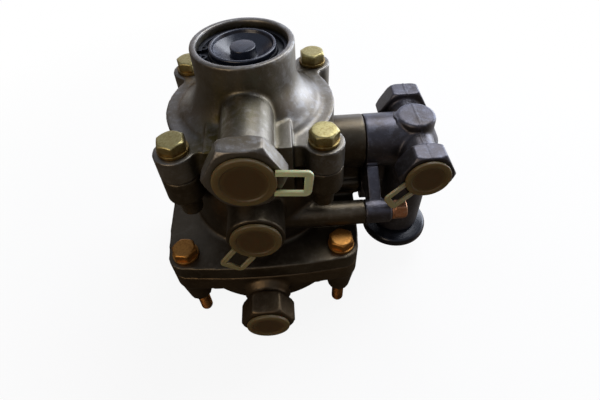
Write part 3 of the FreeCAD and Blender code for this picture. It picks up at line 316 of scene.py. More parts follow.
# Phosphated spring steel: grey-black crystals over steel, so a dull even metal
def springSteel(name):
    material, tree, place = startMaterial(name)
    crystal = noiseOf(tree, place, 0.5, 3.0)
    colour = blend(tree, spread(tree, crystal, 0, 1), linear("#2a2b2f"), linear("#45474d"))
    shader = addNode(tree, "ShaderNodeBsdfPrincipled", {"Metallic": 0.8, "Roughness": 0.42},
                     Base_Color=colour, Normal=bumpOf(tree, crystal, 0.02, 0.6))
    endMaterial(tree, shader.outputs["BSDF"])
    return material


# Turned metal: a lathe leaves fine rings, which spread each highlight across the cut. The
# wave texture draws a ring each twentieth of its scale
def turnedMetal(name, base, dark, rough):
    material, tree, place = startMaterial(name)
    rings = addNode(tree, "ShaderNodeTexWave",
                    {"wave_type": "RINGS", "rings_direction": "Z", "Distortion": 0.4,
                     "Scale": perMillimetre(0.6) / 20}, Vector=place).outputs["Fac"]
    colour = blend(tree, rings, linear(base), linear(dark))
    shader = addNode(tree, "ShaderNodeBsdfPrincipled", {"Metallic": 1.0, "Roughness": rough},
                     Base_Color=colour, Normal=bumpOf(tree, rings, 0.02, 0.6))
    endMaterial(tree, shader.outputs["BSDF"])
    return material


oilPatch = ((-9, -38, 124), 34)  # round the root of the top port's neck
upperCast = castAluminium("upper_cast_aluminium", "#8d8a84", "#655a45", "#bcbfc3", "#4d4418",
                          oilPatch)
# the middle housing, lower cover and side block are the same cast aluminium as the upper housing;
# their darker colours are painted shade, the shade these lower parts stand in
middleShadedCast = castAluminium("middle_cast_aluminium_shaded", "#635a4a", "#463c2c", "#7e776a", "#33291a")
coverShadedCast = castAluminium("cover_cast_aluminium_shaded", "#6a5b45", "#4c3d29", "#857863", "#3b2b16")
sideShadedCast = castAluminium("side_cast_aluminium_shaded", "#605f66", "#453f3a", "#8b8f9b", "#2a2119")
# the third colour and the two heights are painted light: shade on the bolts' lower faces, the
# floor's pale reflection on the side screws' lower faces
yellowZinc = chromatedZinc("yellow_chromated_zinc", "#b9ae78", "#8d7936", "#6f4a1c", 114.0, 122.5)
goldZinc = chromatedZinc("gold_chromated_zinc", "#b27d3c", "#86561f", "#5e3612", -20, 47)
copperZinc = chromatedZinc("copper_chromated_zinc", "#c98f66", "#a8693f", "#b8aa94", 50, 56)
blackRubber = nitrileRubber("nitrile_rubber")
darkNylon = blackNylon("glass_filled_nylon")
knobPlastic = blackNylon("gloss_nylon", 0.22)
phosphate = springSteel("phosphated_spring_steel")
turnedBrass = turnedMetal("turned_brass", "#c9a45c", "#a8843f", 0.3)
turnedAluminium = turnedMetal("turned_aluminium", "#c3c4c6", "#a9abae", 0.32)
print("materials made:", len(bpy.data.materials))


# Surfaces

def gridFaces(rows, columns):
    # each cell of a rows by columns grid, with the last column joined to the first
    row, column = np.meshgrid(np.arange(rows - 1), np.arange(columns), indexing="ij")
    across = (column + 1) % columns
    corners = np.stack([row * columns + column, row * columns + across,
                        (row + 1) * columns + across, (row + 1) * columns + column], -1)
    return corners.reshape(-1, 4)


def finishPiece(mesh, name, material, body, replaces, turn=True):
    # turn: the faces are turned outward. Copies of the solids keep theirs, because a cavity
    # has walls that face into it
    work = bmesh.new()
    work.from_mesh(mesh)
    bmesh.ops.remove_doubles(work, verts=work.verts, dist=2e-6)
    if turn:
        bmesh.ops.recalc_face_normals(work, faces=work.faces)
    work.to_mesh(mesh)
    work.free()
    mesh.polygons.foreach_set("use_smooth", np.ones(len(mesh.polygons), bool))
    mesh.materials.clear()
    mesh.materials.append(material)
    piece = bpy.data.objects.new(name, mesh)
    bpy.context.scene.collection.objects.link(piece)
    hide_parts(*replaces)
    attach(piece, body)
    return piece


def gridPiece(grids, name, material, body, replaces):
    # grids: arrays of rows by columns by (x, y, z) in millimetres, joined into one mesh
    points, faces, count = [], [], 0
    for grid in grids:
        rows, columns = grid.shape[:2]
        points.append(grid.reshape(-1, 3))
        faces.append(gridFaces(rows, columns) + count)
        count += rows * columns
    mesh = bpy.data.meshes.new(name)
    mesh.from_pydata(np.concatenate(points) * mm, [], np.concatenate(faces).tolist())
    return finishPiece(mesh, name, material, body, replaces)


def filleted(points, radii, steps=6):
    # each corner of the outline becomes an arc that touches both of its sides
    points = np.array(points, float)
    made = []
    for at, radius in enumerate(radii):
        corner = points[at]
        before, after = points[at - 1] - corner, points[(at + 1) % len(points)] - corner
        lengths = np.linalg.norm(before), np.linalg.norm(after)
        if radius <= 0 or min(lengths) == 0:
            made.append(corner[None])
            continue
        before, after = before / lengths[0], after / lengths[1]
        half = math.acos(np.clip(before @ after, -1, 1)) / 2
        reach = min(radius / math.tan(half), min(lengths) * 0.49)
        radius = reach * math.tan(half)
        middle = before + after
        centre = corner + middle / np.linalg.norm(middle) * radius / math.sin(half)
        first, last = corner + before * reach - centre, corner + after * reach - centre
        share = np.linspace(0, 1, steps)[:, None]
        angle = math.acos(np.clip(first @ last / radius ** 2, -1, 1))
        if angle < 1e-4:
            made.append(corner[None])
            continue
        arc = (np.sin((1 - share) * angle) * first + np.sin(share * angle) * last)
        made.append(centre + arc / math.sin(angle))
    return np.concatenate(made)


def turnedGrid(outline, segments=128):
    # radius and height of each outline point, carried round the Z axis in a full circle
    turn = np.linspace(0, 2 * math.pi, segments, endpoint=False)
    radius, height = outline[:, :1], outline[:, 1:]
    return np.stack([radius * np.cos(turn), radius * np.sin(turn),
                     np.broadcast_to(height, (len(outline), segments))], -1)


def placed(grid, centre, way="up"):
    # turns local Z to the way and moves the origin to the centre
    turns = {"up": np.eye(3),
             "front": np.array([[1, 0, 0], [0, 0, -1], [0, 1, 0]], float),
             "right": np.array([[0, 0, 1], [0, 1, 0], [-1, 0, 0]], float)}
    return grid @ turns[way].T + np.array(centre, float)


def turnedAbout(grid, degrees):
    angle = math.radians(degrees)
    spin = np.array([[math.cos(angle), -math.sin(angle), 0],
                     [math.sin(angle), math.cos(angle), 0], [0, 0, 1]])
    return grid @ spin.T


# Castings: the solids with their edges rounded and their valleys filleted, as a mould
# leaves them. Each is cut into even cells first, so that the form can move smoothly

castings = {
    "upper_housing": {"cell": 0.73, "rounds": 2, "valley": 68, "material": upperCast},
    "middle_housing": {"cell": 1.08, "rounds": 1, "valley": 34, "material": middleShadedCast},
    "lower_cover": {"cell": 0.92, "rounds": 1, "valley": 34, "material": coverShadedCast},
    "side_block": {"cell": 0.67, "rounds": 1, "valley": 51, "material": sideShadedCast},
}
# The screw arms are tied by a bar across the joint, with a boss that closes the duct, and a
# thin wall joins the duct to the tube above it
tieBar = {"reach": 7.0, "outline": [(-36, -5.5), (-27, -2.2), (27, -2.2), (36, -5.5),
                                    (36, 6.6), (27, 7.4), (-27, 7.4), (-36, 6.6)]}
ductBoss = {"radius": 6.0, "shift": (-4.5, -7.7), "drop": 6.6}
ductWall = {"from": 40.0, "foot": 38.5, "head": 66.0, "half": 2.5}
flashRidge = {"height": 0.34, "width": 0.38}
crown = {"radius": 11.6, "edge": 5.22, "power": 5.0, "band": 0.3}
valleyShape = {"tightest": 0.22, "share": 0.5, "refresh": 10}


def prism(outline, start, reach, axis):
    # the outline's two coordinates are the other two axes, in order
    ends = []
    for place in (start, start + reach):
        ends.append(np.insert(np.array(outline, float), axis, place, axis=1))
    count = len(outline)
    along = np.arange(count)
    after = (along + 1) % count
    sides = np.stack([along, after, after + count, along + count], -1).tolist()
    return np.concatenate(ends), [*sides, along[::-1].tolist(), (along + count).tolist()]


def addPrisms(mesh, prisms):
    work = bmesh.new()
    work.from_mesh(mesh)
    for points, faces in prisms:
        made = [work.verts.new(point) for point in points * mm]
        own = [work.faces.new([made[at] for at in face]) for face in faces]
        bmesh.ops.recalc_face_normals(work, faces=own)
    work.to_mesh(mesh)
    work.free()


def castingExtras(node):
    centre = np.array([sideAxis[1], armHeight])
    duct = centre + ductBoss["shift"]
    if node == "side_block":
        turn = np.linspace(0, 2 * math.pi, 40, endpoint=False)
        boss = duct + ductBoss["radius"] * np.stack([np.cos(turn), np.sin(turn)], -1)
        boss[np.sin(turn) < -1e-6, 1] -= ductBoss["drop"]
        bar = centre + np.array(tieBar["outline"], float)
        return [prism(bar, sideJoint, tieBar["reach"], 0),
                prism(boss, sideJoint, tieBar["reach"], 0)]
    if node == "middle_housing":
        wall = [(ductWall["from"], ductWall["foot"]), (sideJoint, ductWall["foot"]),
                (sideJoint, ductWall["head"]), (ductWall["from"], ductWall["head"])]
        return [prism(wall, -ductWall["half"], ductWall["half"] * 2, 1)]
    return []


def mergedCopy(node, name):
    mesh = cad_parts[node].data.copy()
    mesh.name = name
    work = bmesh.new()
    work.from_mesh(mesh)
    bmesh.ops.remove_doubles(work, verts=work.verts, dist=1e-6)
    work.to_mesh(mesh)
    work.free()
    return mesh


def appliedMesh(mesh, modifiers):
    # the mesh after the named modifiers, each with its own settings
    helper = bpy.data.objects.new("helper", mesh)
    bpy.context.scene.collection.objects.link(helper)
    for kind, settings in modifiers:
        modifier = helper.modifiers.new(kind.lower(), kind)
        for name, value in settings.items():
            setattr(modifier, name, value)
    graph = bpy.context.evaluated_depsgraph_get()
    made = bpy.data.meshes.new_from_object(helper.evaluated_get(graph))
    bpy.data.objects.remove(helper)
    return made


def readPoints(mesh):
    flat = np.empty(len(mesh.vertices) * 3)
    mesh.vertices.foreach_get("co", flat)
    return flat.reshape(-1, 3) / mm


def writePoints(mesh, points):
    mesh.vertices.foreach_set("co", (points * mm).ravel())
    mesh.update()


def readNormals(mesh):
    flat = np.empty(len(mesh.vertices) * 3)
    mesh.vertices.foreach_get("normal", flat)
    return flat.reshape(-1, 3)


def filletValleys(mesh, cell, rounds):
    # where the neighbours of a point lie above its surface more than they do in a valley of
    # the tightest curvature kept, the point moves half of the way up to them. The normals
    # are read again now and then
    points = readPoints(mesh)
    edges = np.empty(len(mesh.edges) * 2, int)
    mesh.edges.foreach_get("vertices", edges)
    edges = edges.reshape(-1, 2)
    ends, others = np.concatenate([edges, edges[:, ::-1]]).T
    count = np.maximum(np.bincount(ends, minlength=len(points)), 1)
    limit = valleyShape["tightest"] * cell ** 2 / 4
    for turn in range(rounds):
        if turn % valleyShape["refresh"] == 0:
            writePoints(mesh, points)
            normals = readNormals(mesh)
        middle = np.stack([np.bincount(ends, points[others, axis], len(points))
                           for axis in range(3)], 1) / count[:, None]
        rise = ((middle - points) * normals).sum(1)
        step = valleyShape["share"] * np.clip(rise - limit, 0, cell / 3)
        points += step[:, None] * normals
    writePoints(mesh, points)


def raiseFlash(mesh):
    # the two mould halves of the side block met in a plane, which left a thin raised line
    points, normals = readPoints(mesh), readNormals(mesh)
    across = (points[:, 0] - sideAxis[0]) / flashRidge["width"]
    level = np.clip(1 - np.abs(normals[:, 0]) * 2, 0, 1)
    height = flashRidge["height"] * np.exp(-across ** 2) * level
    writePoints(mesh, points + normals * height[:, None])


def squareCrown(mesh):
    # the crown's round edge is drawn out towards its corner, as a superellipse
    points = readPoints(mesh)
    away = points[:, :2] - sideAxis[:2]
    radius = np.linalg.norm(away, axis=1)
    edge, power = crown["edge"], crown["power"]
    across = (radius - crown["radius"] + edge) / edge
    up = (points[:, 2] - crownTop + edge) / edge
    level = np.hypot(across, up)
    onEdge = (across > 0) & (up > 0) & (np.abs(level - 1) < crown["band"])
    corner = (np.abs(across) ** power + np.abs(up) ** power) ** (1 / power)
    grow = np.where(onEdge, level / np.maximum(corner, 1e-6), 1)
    inner = crown["radius"] - edge
    stretch = np.where(onEdge, (inner + across * edge * grow) / np.maximum(radius, 1e-6), 1)
    points[:, :2] = sideAxis[:2] + away * stretch[:, None]
    points[:, 2] = np.where(onEdge, crownTop - edge + up * edge * grow, points[:, 2])
    writePoints(mesh, points)


def makeCasting(node, cell, rounds, valley, material):
    rough = mergedCopy(node, node + "_soft")
    addPrisms(rough, castingExtras(node))
    mesh = appliedMesh(rough, [
        ("REMESH", {"mode": "VOXEL", "voxel_size": cell * mm, "use_smooth_shade": True}),
        ("SMOOTH", {"factor": 0.5, "iterations": rounds})])
    filletValleys(mesh, cell, valley)
    if node == "side_block":
        squareCrown(mesh)
        raiseFlash(mesh)
    finishPiece(mesh, node + "_casting", material, "valve_body", [node],
                turn=False)
    print("casting", node, len(mesh.polygons) * 2, "triangles")


for castingName, castingSettings in castings.items():
    makeCasting(castingName, **castingSettings)


# Hexagon bolts: six flats with a turned crown, a threaded shank

def hexReach(turn, flats):
    # distance from the axis to a hexagon's side, in the direction of each angle
    sector = np.mod(turn + math.pi / 6, math.pi / 3) - math.pi / 6
    return flats / 2 / np.cos(sector)


boltFinish = {"pitch": 1.25, "threadDepth": 0.61, "columns": 60, "rowsAPitch": 7,
              "crown": 0.93, "crownSlope": 1.9, "blend": 26.0, "headRows": 22, "neck": 0.4,
              "washerFace": 1.02}


def boltGrid(shape, length):
    # head underside at height 0, head above it and shank below it. The head's radius is the
    # smaller of the hexagon and a cone, blended. The thread's radius falls and rises once a
    # pitch, and its crest climbs one pitch each turn. A cone at the end makes the point
    finish = boltFinish
    flats, headHeight, shankRadius = shape["flats"], shape["head"], shape["radius"]
    turn = np.linspace(0, 2 * math.pi, finish["columns"], endpoint=False)[None]
    core = shankRadius - finish["threadDepth"] * finish["pitch"]
    rows = int((length + shape["threadFrom"]) / finish["pitch"] * finish["rowsAPitch"])
    threaded = np.linspace(-length, shape["threadFrom"], rows)
    plain = np.linspace(shape["threadFrom"] + 0.2, -finish["neck"], 5)
    shankHeights = np.concatenate([threaded, plain])[:, None]
    phase = shankHeights / finish["pitch"] - turn / (2 * math.pi)
    wave = np.abs(2 * np.mod(phase, 1) - 1)
    thread = core + (shankRadius - core) * np.clip(wave * 1.35 - 0.12, 0, 1)
    thread = np.where(shankHeights < shape["threadFrom"], thread, shankRadius)
    taper = core - 0.2 + (shankHeights + length) / shape["point"] * (shankRadius - core + 0.4)
    shank = np.minimum(thread, taper)
    side = np.linspace(0.6, headHeight, finish["headRows"])
    side = np.concatenate([[0.25, 0.45], side])[:, None]
    hexagon = hexReach(turn, flats)
    cone = flats / 2 * finish["crown"] + (headHeight - side) * finish["crownSlope"]
    head = (hexagon ** -finish["blend"] + cone ** -finish["blend"]) ** (-1 / finish["blend"])
    first = np.minimum(hexagon, flats / 2 * finish["washerFace"]) * np.ones((2, 1))
    rim = head[-1:]
    top = np.concatenate([rim - 0.12, rim - 0.35, rim * 0.6, rim * 0.3, rim * 0])
    radius = np.concatenate([shank[:1] * 0, shank, first, head, top])
    topHeights = headHeight + np.array([0.09, 0.12, 0.12, 0.1, 0.1])[:, None]
    heights = np.concatenate([shankHeights[:1], shankHeights, [[-0.01], [0.03]], side,
                              topHeights])
    return np.stack([radius * np.cos(turn), radius * np.sin(turn),
                     heights * np.ones_like(turn)], -1)


boltShapes = {
    "upper_bolts": {"flats": 13.0, "head": 5.3, "radius": 4.0, "threadFrom": -14.0,
                    "point": 1.2, "turns": (10, 24, 17, 4), "material": yellowZinc,
                    "slot": "yellow_zinc"},
    "lower_bolts": {"flats": 13.0, "head": 5.3, "radius": 3.95, "threadFrom": -44.0,
                    "point": 2.4, "turns": (21, 3, 27, 14), "material": goldZinc,
                    "slot": "orange_zinc"},
}
sideScrews = {"flats": 10.4, "head": 7.0, "radius": 3.0, "threadFrom": -12.0, "point": 1.2,
              "turns": (0, 20)}


def makeBolts():
    for name, shape in boltShapes.items():
        grids = []
        for (low, high), turnBy in zip(quadrantBoxes(name), shape["turns"]):
            middle = (low + high) / 2
            seat = high[2] - shape["head"]
            grid = turnedAbout(boltGrid(shape, seat - low[2]), turnBy)
            grids.append(placed(grid, (middle[0], middle[1], seat)))
        gridPiece(grids, name + "_turned", shape["material"], "valve_body",
                  [name])
    low, high = nodeBox("side_screws")
    seat = high[0] - sideScrews["head"]
    height = (low[2] + high[2]) / 2
    grids = []
    for side, turnBy in zip((-1, 1), sideScrews["turns"]):
        across = nodePoints("side_screws")[:, 1]
        own = across[(across - (low[1] + high[1]) / 2) * side > 0]
        grid = turnedAbout(boltGrid(sideScrews, seat - low[0]), turnBy)
        grids.append(placed(grid, (seat, (own.min() + own.max()) / 2, height), "right"))
    gridPiece(grids, "side_screws_turned", copperZinc, "valve_body",
              ["side_screws"])
    print("bolts made")


makeBolts()


# Exhaust set in the neck

# outline: radius, height over the flap's rim, fillet
exhaustShape = {"sunk": 1.6, "segments": 160, "filletSteps": 7, "outline": [
    (0, -11.5, 0), (1.6, -11.5, 0.4), (1.8, -7.9, 1), (8.5, -7.8, 6), (14.6, -2.9, 2),
    (16.4, -2.2, 0.5), (16.4, 0, 0.7), (14.9, 0, 0.7), (14.4, -1.6, 0.9), (9.8, -4.8, 9),
    (6.9, -6.1, 0.8), (6.3, -5.6, 0.3), (6.3, -0.9, 0.5), (0, -0.9, 0)]}


def makeExhaust():
    # the outline is carried round the main axis in a full circle
    shape = exhaustShape
    outline = np.array(shape["outline"], float)
    points = outline[:, :2] + (0, rimTop - shape["sunk"])
    dish = turnedGrid(filleted(points, outline[:, 2], shape["filletSteps"]), shape["segments"])
    gridPiece([dish], "exhaust_flap_moulded", blackRubber, "valve_body",
              ["exhaust_flap"])
    print("exhaust made")


makeExhaust()


# Protective caps with their pull loops

caps = {
    "top_port_cap": {"flange": 13.4, "plug": 10.08, "loop": (14.8, 14.5), "turn": -6,
                     "lean": 0, "loopColour": ("#aeb887", "#cdd5a8")},
    "middle_port_cap": {"flange": 13.4, "plug": 10.08, "loop": (14.8, 14.5), "turn": -126,
                        "lean": 0, "loopColour": ("#7a6f49", "#958a60")},
    "low_port_cap": {"flange": 12.5, "plug": 7.08, "loop": None},
    "side_port_cap": {"flange": 12.5, "plug": 7.08, "loop": (14.0, 11.7), "turn": -145,
                      "lean": 14, "loopColour": ("#857a54", "#a0966c")},
}
capShape = {"web": 1.6, "rim": 2.2, "seat": 0.5, "plugDepth": 8.9, "wall": 1.2, "segments": 144,
            "webInside": 5.5, "rimInside": 1.0}
loopShape = {"bar": 2.9, "endBar": 3.6, "thickness": 1.8, "corner": 1.6, "overlap": 1.0,
             "lift": 0.1, "columns": 24, "square": 0.5, "groove": 0.28, "grooveWidth": 0.45}


def capGrid(flange, plug):
    # a cup's wall outline, closed on the axis at both ends, carried round in a full circle
    inner, deep = plug - capShape["wall"], -capShape["plugDepth"]
    rim, web = capShape["rim"], capShape["web"]
    outline = filleted([(0, -1.5), (inner, -1.5), (inner, deep), (plug - 0.1, deep),
                        (plug, deep + 1.4), (plug, 0.02), (flange - 0.3, 0.05),
                        (flange, capShape["seat"]), (flange, rim), (flange - 3.0, rim),
                        (flange - 3.7, web), (0, web)],
                       [0, 0.3, 0.3, 0.5, 0, 0.3, 0.3, 0.4, 0.9, 0.5, 0.5, 0], 6)
    return turnedGrid(outline, capShape["segments"])


def loopGrid(flange, length, width, lean):
    # a rounded bar carried along a U: out from the flange, across its end and back. The bar
    # is a superellipse, with a groove along its upper side
    shape = loopShape
    start, end = flange - shape["overlap"], flange + length
    side = (width - shape["bar"]) / 2
    far = end - shape["endBar"] / 2
    path = filleted([(start, -side), (far, -side), (far, side), (start, side)],
                    [0, shape["corner"], shape["corner"], 0], 9)
    ahead = np.gradient(path, axis=0)
    ahead /= np.linalg.norm(ahead, axis=1)[:, None]
    across = np.stack([ahead[:, 1], -ahead[:, 0]], 1)
    crossing = np.abs(ahead[:, 1])  # 1 on the end bar, 0 on the side bars
    wide = (shape["bar"] + (shape["endBar"] - shape["bar"]) * crossing) / 2
    turn = np.linspace(0, 2 * math.pi, shape["columns"], endpoint=False)
    squared = np.abs(np.cos(turn)) ** shape["square"] * np.sign(np.cos(turn))
    raised = np.abs(np.sin(turn)) ** shape["square"] * np.sign(np.sin(turn))
    dip = np.exp(-(squared / shape["grooveWidth"]) ** 4)
    groove = shape["groove"] * np.clip(raised, 0, 1) * dip
    flatPlace = path[:, None] + across[:, None] * (wide[:, None] * squared)[..., None]
    half = shape["thickness"] / 2
    height = np.broadcast_to(raised * half - groove, flatPlace.shape[:2])
    grid = np.concatenate([flatPlace, height[..., None] + half + shape["lift"]], -1)
    ends = [np.broadcast_to(grid[at].mean(0), (1, len(turn), 3)) for at in (0, -1)]
    grid = np.concatenate([ends[0], grid, ends[1]])
    tilt = math.radians(lean)
    away = grid[..., 0] - start
    return np.stack([start + away * math.cos(tilt) - grid[..., 2] * math.sin(tilt),
                     grid[..., 1],
                     away * math.sin(tilt) + grid[..., 2] * math.cos(tilt)], -1)


def makeCaps():
    for name, cap in caps.items():
        mouth = plugMouth(name)
        # the first colour is the painted shade of the dark bore seen through the web
        web = polyethylene(name + "_polyethylene", "#4e3a1d", "#6f5f3a", mouth,
                           cap["flange"] - capShape["webInside"],
                           cap["flange"] - capShape["rimInside"])
        grid = placed(capGrid(cap["flange"], cap["plug"]), mouth, "front")
        gridPiece([grid], name + "_moulded", web, "valve_body", [name])
        if cap["loop"] is None:
            continue
        loop = loopGrid(cap["flange"], *cap["loop"], cap["lean"])
        grid = placed(turnedAbout(loop, cap["turn"]), mouth, "front")
        gridPiece([grid], name + "_loop",
                  polyethylene(name + "_loop_polyethylene", *cap["loopColour"]), "valve_body",
                  [name])
    print("caps made")


makeCaps()


# Knob of the release valve

# outline: radius, height over the knob's underside, fillet. The last two are the socket's
# floor, in which the stem sits
knobShape = {"segments": 160, "filletSteps": 10, "outline": [
    (0, 0.6, 0), (13.5, 0.6, 0.6), (14.2, 0, 0.5), (22.8, 0, 4.0), (22.8, 7.1, 2.8),
    (15.0, 9.0, 0.8), (5.05, 9.0, 0.2), (5.05, 4.9, 0), (0, 4.9, 0)]}


def makeKnob():
    # the outline is carried round the release valve's axis in a full circle
    low, high = nodeBox("release_knob")
    centre = ((low + high) / 2)[:2]
    outline = np.array(knobShape["outline"], float)
    rounded = filleted(outline[:, :2], outline[:, 2], knobShape["filletSteps"])
    grid = placed(turnedGrid(rounded, knobShape["segments"]), (*centre, low[2]))
    gridPiece([grid], "release_knob_moulded", knobPlastic, "release_spool",
              ["release_knob"])
    print("knob made")


makeKnob()


# Spring of the inlet valve, held at its top by the guide and pressed together from below

springShape = {"wire": 1.1, "turns": 5.0, "stepsATurn": 64, "columns": 18, "travel": 3.0}


def makeSpring():
    # a circle carried along a helix: the centre turns and climbs, and the circle stands
    # across its path, with a point at both ends
    low, high = nodeBox("valve_spring")
    shape = springShape
    reach = (high[0] - low[0]) / 2 - shape["wire"]
    count = int(shape["turns"] * shape["stepsATurn"]) + 1
    angle = np.linspace(0, shape["turns"] * 2 * math.pi, count)[:, None]
    foot, head = low[2] + shape["wire"], high[2] - shape["wire"]
    climb = (head - foot) / (shape["turns"] * 2 * math.pi)
    outward = np.concatenate([np.cos(angle), np.sin(angle), angle * 0], 1)
    centre = reach * outward + np.array([0, 0, 1]) * (foot + climb * angle)
    ahead = np.concatenate([-reach * np.sin(angle), reach * np.cos(angle),
                            angle * 0 + climb], 1)
    ahead /= np.linalg.norm(ahead, axis=1)[:, None]
    upward = np.cross(outward, ahead)
    turn = np.linspace(0, 2 * math.pi, shape["columns"], endpoint=False)[None, :, None]
    ring = np.cos(turn) * outward[:, None] + np.sin(turn) * upward[:, None]
    grid = centre[:, None] + shape["wire"] * ring
    ends = [np.broadcast_to(centre[at], (1, shape["columns"], 3)) for at in (0, -1)]
    piece = gridPiece([np.concatenate([ends[0], grid, ends[1]])], "valve_spring_wound",
                      phosphate, "valve_body", ["valve_spring"])
    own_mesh(piece)
    print("spring made")


makeSpring()


# Small pieces that keep their solids, with their sharp edges broken

def softCopy(node, width, material):
    sharp = math.radians(35)
    mesh = appliedMesh(mergedCopy(node, node + "_edged"), [
        ("BEVEL", {"width": width * mm, "segments": 2, "limit_method": "ANGLE",
                   "angle_limit": sharp, "use_clamp_overlap": True})])
    finishPiece(mesh, node + "_edged", material, "valve_body", [node], turn=False)


softCopies = {
    "upper_washers": (0.2, yellowZinc, "yellow_zinc"),
    "lower_washers": (0.2, goldZinc, "orange_zinc"),
    "side_washers": (0.2, copperZinc, "orange_zinc"),
    "exhaust_circlip": (0.12, phosphate, "spring_steel"),
    "valve_guide": (0.15, darkNylon, "black_nylon"),
}
for copyName, (copyWidth, copyMaterial, copySlot) in softCopies.items():
    softCopy(copyName, copyWidth, copyMaterial)

plainNodes = {
    "bush_circlip": phosphate, "spool_bush": darkNylon,
    "inlet_valve": turnedBrass, "release_spool": turnedBrass, "relay_piston": turnedAluminium,
}
for nodeName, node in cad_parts.items():
    if node.hide_render:
        continue
    node.data.materials.clear()
    node.data.materials.append(plainNodes.get(nodeName, blackRubber))
print("small pieces dressed")


# Floor, light and camera

# The room: white to the camera. The metal sees a bright window low behind the part and to
# its right, a grey ceiling and a dim warm front, so the faces turned to us stay dark
roomLight = {"window": (0.6, 0.8, 0.0), "edge": (0.1, 0.85), "head": (0.65, 0.2),
             "dim": 0.06, "ceiling": 0.34, "bright": 1.9, "warm": "#c9a679", "cool": "#d9e4ff"}


# near and far: distances from the part between which the paper goes from a little grey to
# white. lit: how far along the window's direction its light begins and is full
paper = {"reach": 4.0, "near": 0.14, "far": 0.45, "grey": 0.90, "lit": (0.05, 0.40),
         "shade": "#5d5344", "white": "#f2f2f0"}


def makeFloor():
    reach = paper["reach"]
    mesh = bpy.data.meshes.new("floor")
    corners = [(-reach, -reach, floorHeight), (reach, -reach, floorHeight),
               (reach, reach, floorHeight), (-reach, reach, floorHeight)]
    mesh.from_pydata(corners, [], [(0, 1, 2, 3)])
    floor = bpy.data.objects.new("floor", mesh)
    bpy.context.scene.collection.objects.link(floor)
    material, tree, place = startMaterial("pale_paper")
    away = addNode(tree, "ShaderNodeVectorMath", {"operation": "LENGTH"}, i0=place)
    white = addNode(tree, "ShaderNodeMapRange",
                    {"From Min": paper["near"], "From Max": paper["far"],
                     "To Min": paper["grey"], "To Max": 1.0},
                    Value=away.outputs["Value"]).outputs["Result"]
    # to the metal, the paper is lit where the window falls on it, behind and to the right
    lean = addNode(tree, "ShaderNodeVectorMath", {"operation": "DOT_PRODUCT"}, i0=place)
    lean.inputs[1].default_value = roomLight["window"]
    lit = spread(tree, lean.outputs["Value"], 0, 1, *paper["lit"])
    camera = addNode(tree, "ShaderNodeLightPath").outputs["Is Camera Ray"]
    seen = addNode(tree, "ShaderNodeMath", {"operation": "MULTIPLY"}, i0=white,
                   i1=camera).outputs["Value"]
    unseen = addNode(tree, "ShaderNodeMath", {"operation": "MULTIPLY"}, i0=lit,
                     i1=spread(tree, camera, 1, 0, 0, 1)).outputs["Value"]
    factor = addNode(tree, "ShaderNodeMath", {"operation": "ADD"}, i0=seen,
                     i1=unseen).outputs["Value"]
    sheen = blend(tree, camera, linear(paper["shade"]), linear(paper["white"]))
    matt = addNode(tree, "ShaderNodeBsdfDiffuse", None, Color=sheen)
    glow = addNode(tree, "ShaderNodeEmission", {"Color": (1, 1, 1, 1), "Strength": 1.0})
    mixed = addNode(tree, "ShaderNodeMixShader", None, i0=factor, i1=matt.outputs["BSDF"],
                    i2=glow.outputs["Emission"])
    endMaterial(tree, mixed.outputs["Shader"])
    mesh.materials.append(material)


def makeWorld():
    world = bpy.data.worlds.new("studio")
    bpy.context.scene.world = world
    world.use_nodes = True
    tree = world.node_tree
    tree.nodes.clear()
    way = addNode(tree, "ShaderNodeTexCoord").outputs["Generated"]
    height = addNode(tree, "ShaderNodeSeparateXYZ", Vector=way).outputs["Z"]
    turned = addNode(tree, "ShaderNodeVectorMath", {"operation": "DOT_PRODUCT"}, i0=way)
    turned.inputs[1].default_value = roomLight["window"]
    fades = []
    for value, (begin, full) in ((turned.outputs["Value"], roomLight["edge"]),
                                 (height, roomLight["head"])):
        settings = {"interpolation_type": "SMOOTHSTEP", "From Min": begin, "From Max": full}
        fade = addNode(tree, "ShaderNodeMapRange", settings, Value=value)
        fades.append(fade.outputs["Result"])
    side, low = fades
    window = addNode(tree, "ShaderNodeMath", {"operation": "MULTIPLY"}, i0=side,
                     i1=low).outputs["Value"]
    lit = spread(tree, window, 0, roomLight["bright"], 0, 1)
    soft = spread(tree, height, roomLight["dim"], roomLight["ceiling"], -0.1, 0.8)
    strength = addNode(tree, "ShaderNodeMath", {"operation": "ADD"}, i0=lit,
                       i1=soft).outputs["Value"]
    cool = spread(tree, height, 0, 1, 0.1, 0.6)
    cool = addNode(tree, "ShaderNodeMath", {"operation": "MAXIMUM"}, i0=cool,
                   i1=window).outputs["Value"]
    colour = blend(tree, cool, linear(roomLight["warm"]), linear(roomLight["cool"]))
    room = addNode(tree, "ShaderNodeBackground", None, Color=colour, Strength=strength)
    white = addNode(tree, "ShaderNodeBackground", {"Color": (1, 1, 1, 1), "Strength": 1.0})
    path = addNode(tree, "ShaderNodeLightPath")
    mixed = addNode(tree, "ShaderNodeMixShader", None, i0=path.outputs["Is Camera Ray"],
                    i1=room.outputs["Background"], i2=white.outputs["Background"])
    output = addNode(tree, "ShaderNodeOutputWorld")
    tree.links.new(mixed.outputs["Shader"], output.inputs["Surface"])


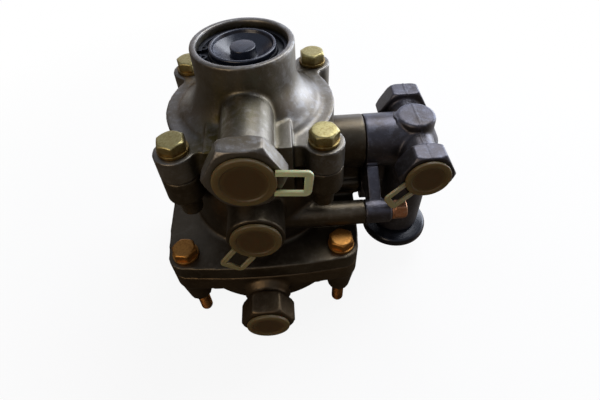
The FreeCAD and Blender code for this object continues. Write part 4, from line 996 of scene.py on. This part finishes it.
lampTarget = (0.02, 0, 0.08)
lamps = {
    "key": {"place": (0.26, 0.30, 0.62), "size": 0.45, "power": 2.6, "colour": "#f1f5ff"},
    "window": {"place": (0.62, 0.42, 0.16), "size": 0.55, "power": 3.2, "colour": "#e6eeff"},
    "fill": {"place": (-0.42, -0.55, 0.50), "size": 0.60, "power": 1.5, "colour": "#ffe9cf"},
}


def makeLamps():
    for name, lamp in lamps.items():
        data = bpy.data.lights.new(name, "AREA")
        data.shape = "DISK"
        data.size = lamp["size"]
        data.energy = lamp["power"]
        data.color = linear(lamp["colour"])[:3]
        light = bpy.data.objects.new(name, data)
        light.location = lamp["place"]
        away = light.location - Vector(lampTarget)
        light.rotation_mode = "QUATERNION"
        light.rotation_quaternion = away.to_track_quat("Z", "Y")
        bpy.context.scene.collection.objects.link(light)


view = {"eye": (0.0194, -0.1869, 0.2438), "down": 48.56, "yaw": -1.45, "roll": -2.72,
        "focalPixels": 408.25, "imageWidth": 600, "sensor": 36.0, "clip": (0.01, 20)}


def makeCamera():
    pitch, yaw, roll = (math.radians(view[name]) for name in ("down", "yaw", "roll"))
    forward = Vector((-math.sin(yaw) * math.cos(pitch), math.cos(yaw) * math.cos(pitch),
                      -math.sin(pitch)))
    level = Vector((math.cos(yaw), math.sin(yaw), 0))
    up = level.cross(forward)
    right = math.cos(roll) * level + math.sin(roll) * up
    up = math.cos(roll) * up - math.sin(roll) * level
    data = bpy.data.cameras.new("photo_view")
    data.sensor_width = view["sensor"]
    data.lens = view["focalPixels"] / view["imageWidth"] * data.sensor_width
    data.clip_start, data.clip_end = view["clip"]
    camera = bpy.data.objects.new("photo_view", data)
    camera.matrix_world = Matrix((
        (right.x, up.x, -forward.x, view["eye"][0]),
        (right.y, up.y, -forward.y, view["eye"][1]),
        (right.z, up.z, -forward.z, view["eye"][2]),
        (0, 0, 0, 1)))
    bpy.context.scene.collection.objects.link(camera)
    bpy.context.scene.camera = camera


makeFloor()
makeWorld()
makeLamps()
makeCamera()
bpy.context.scene.view_settings.view_transform = "Standard"
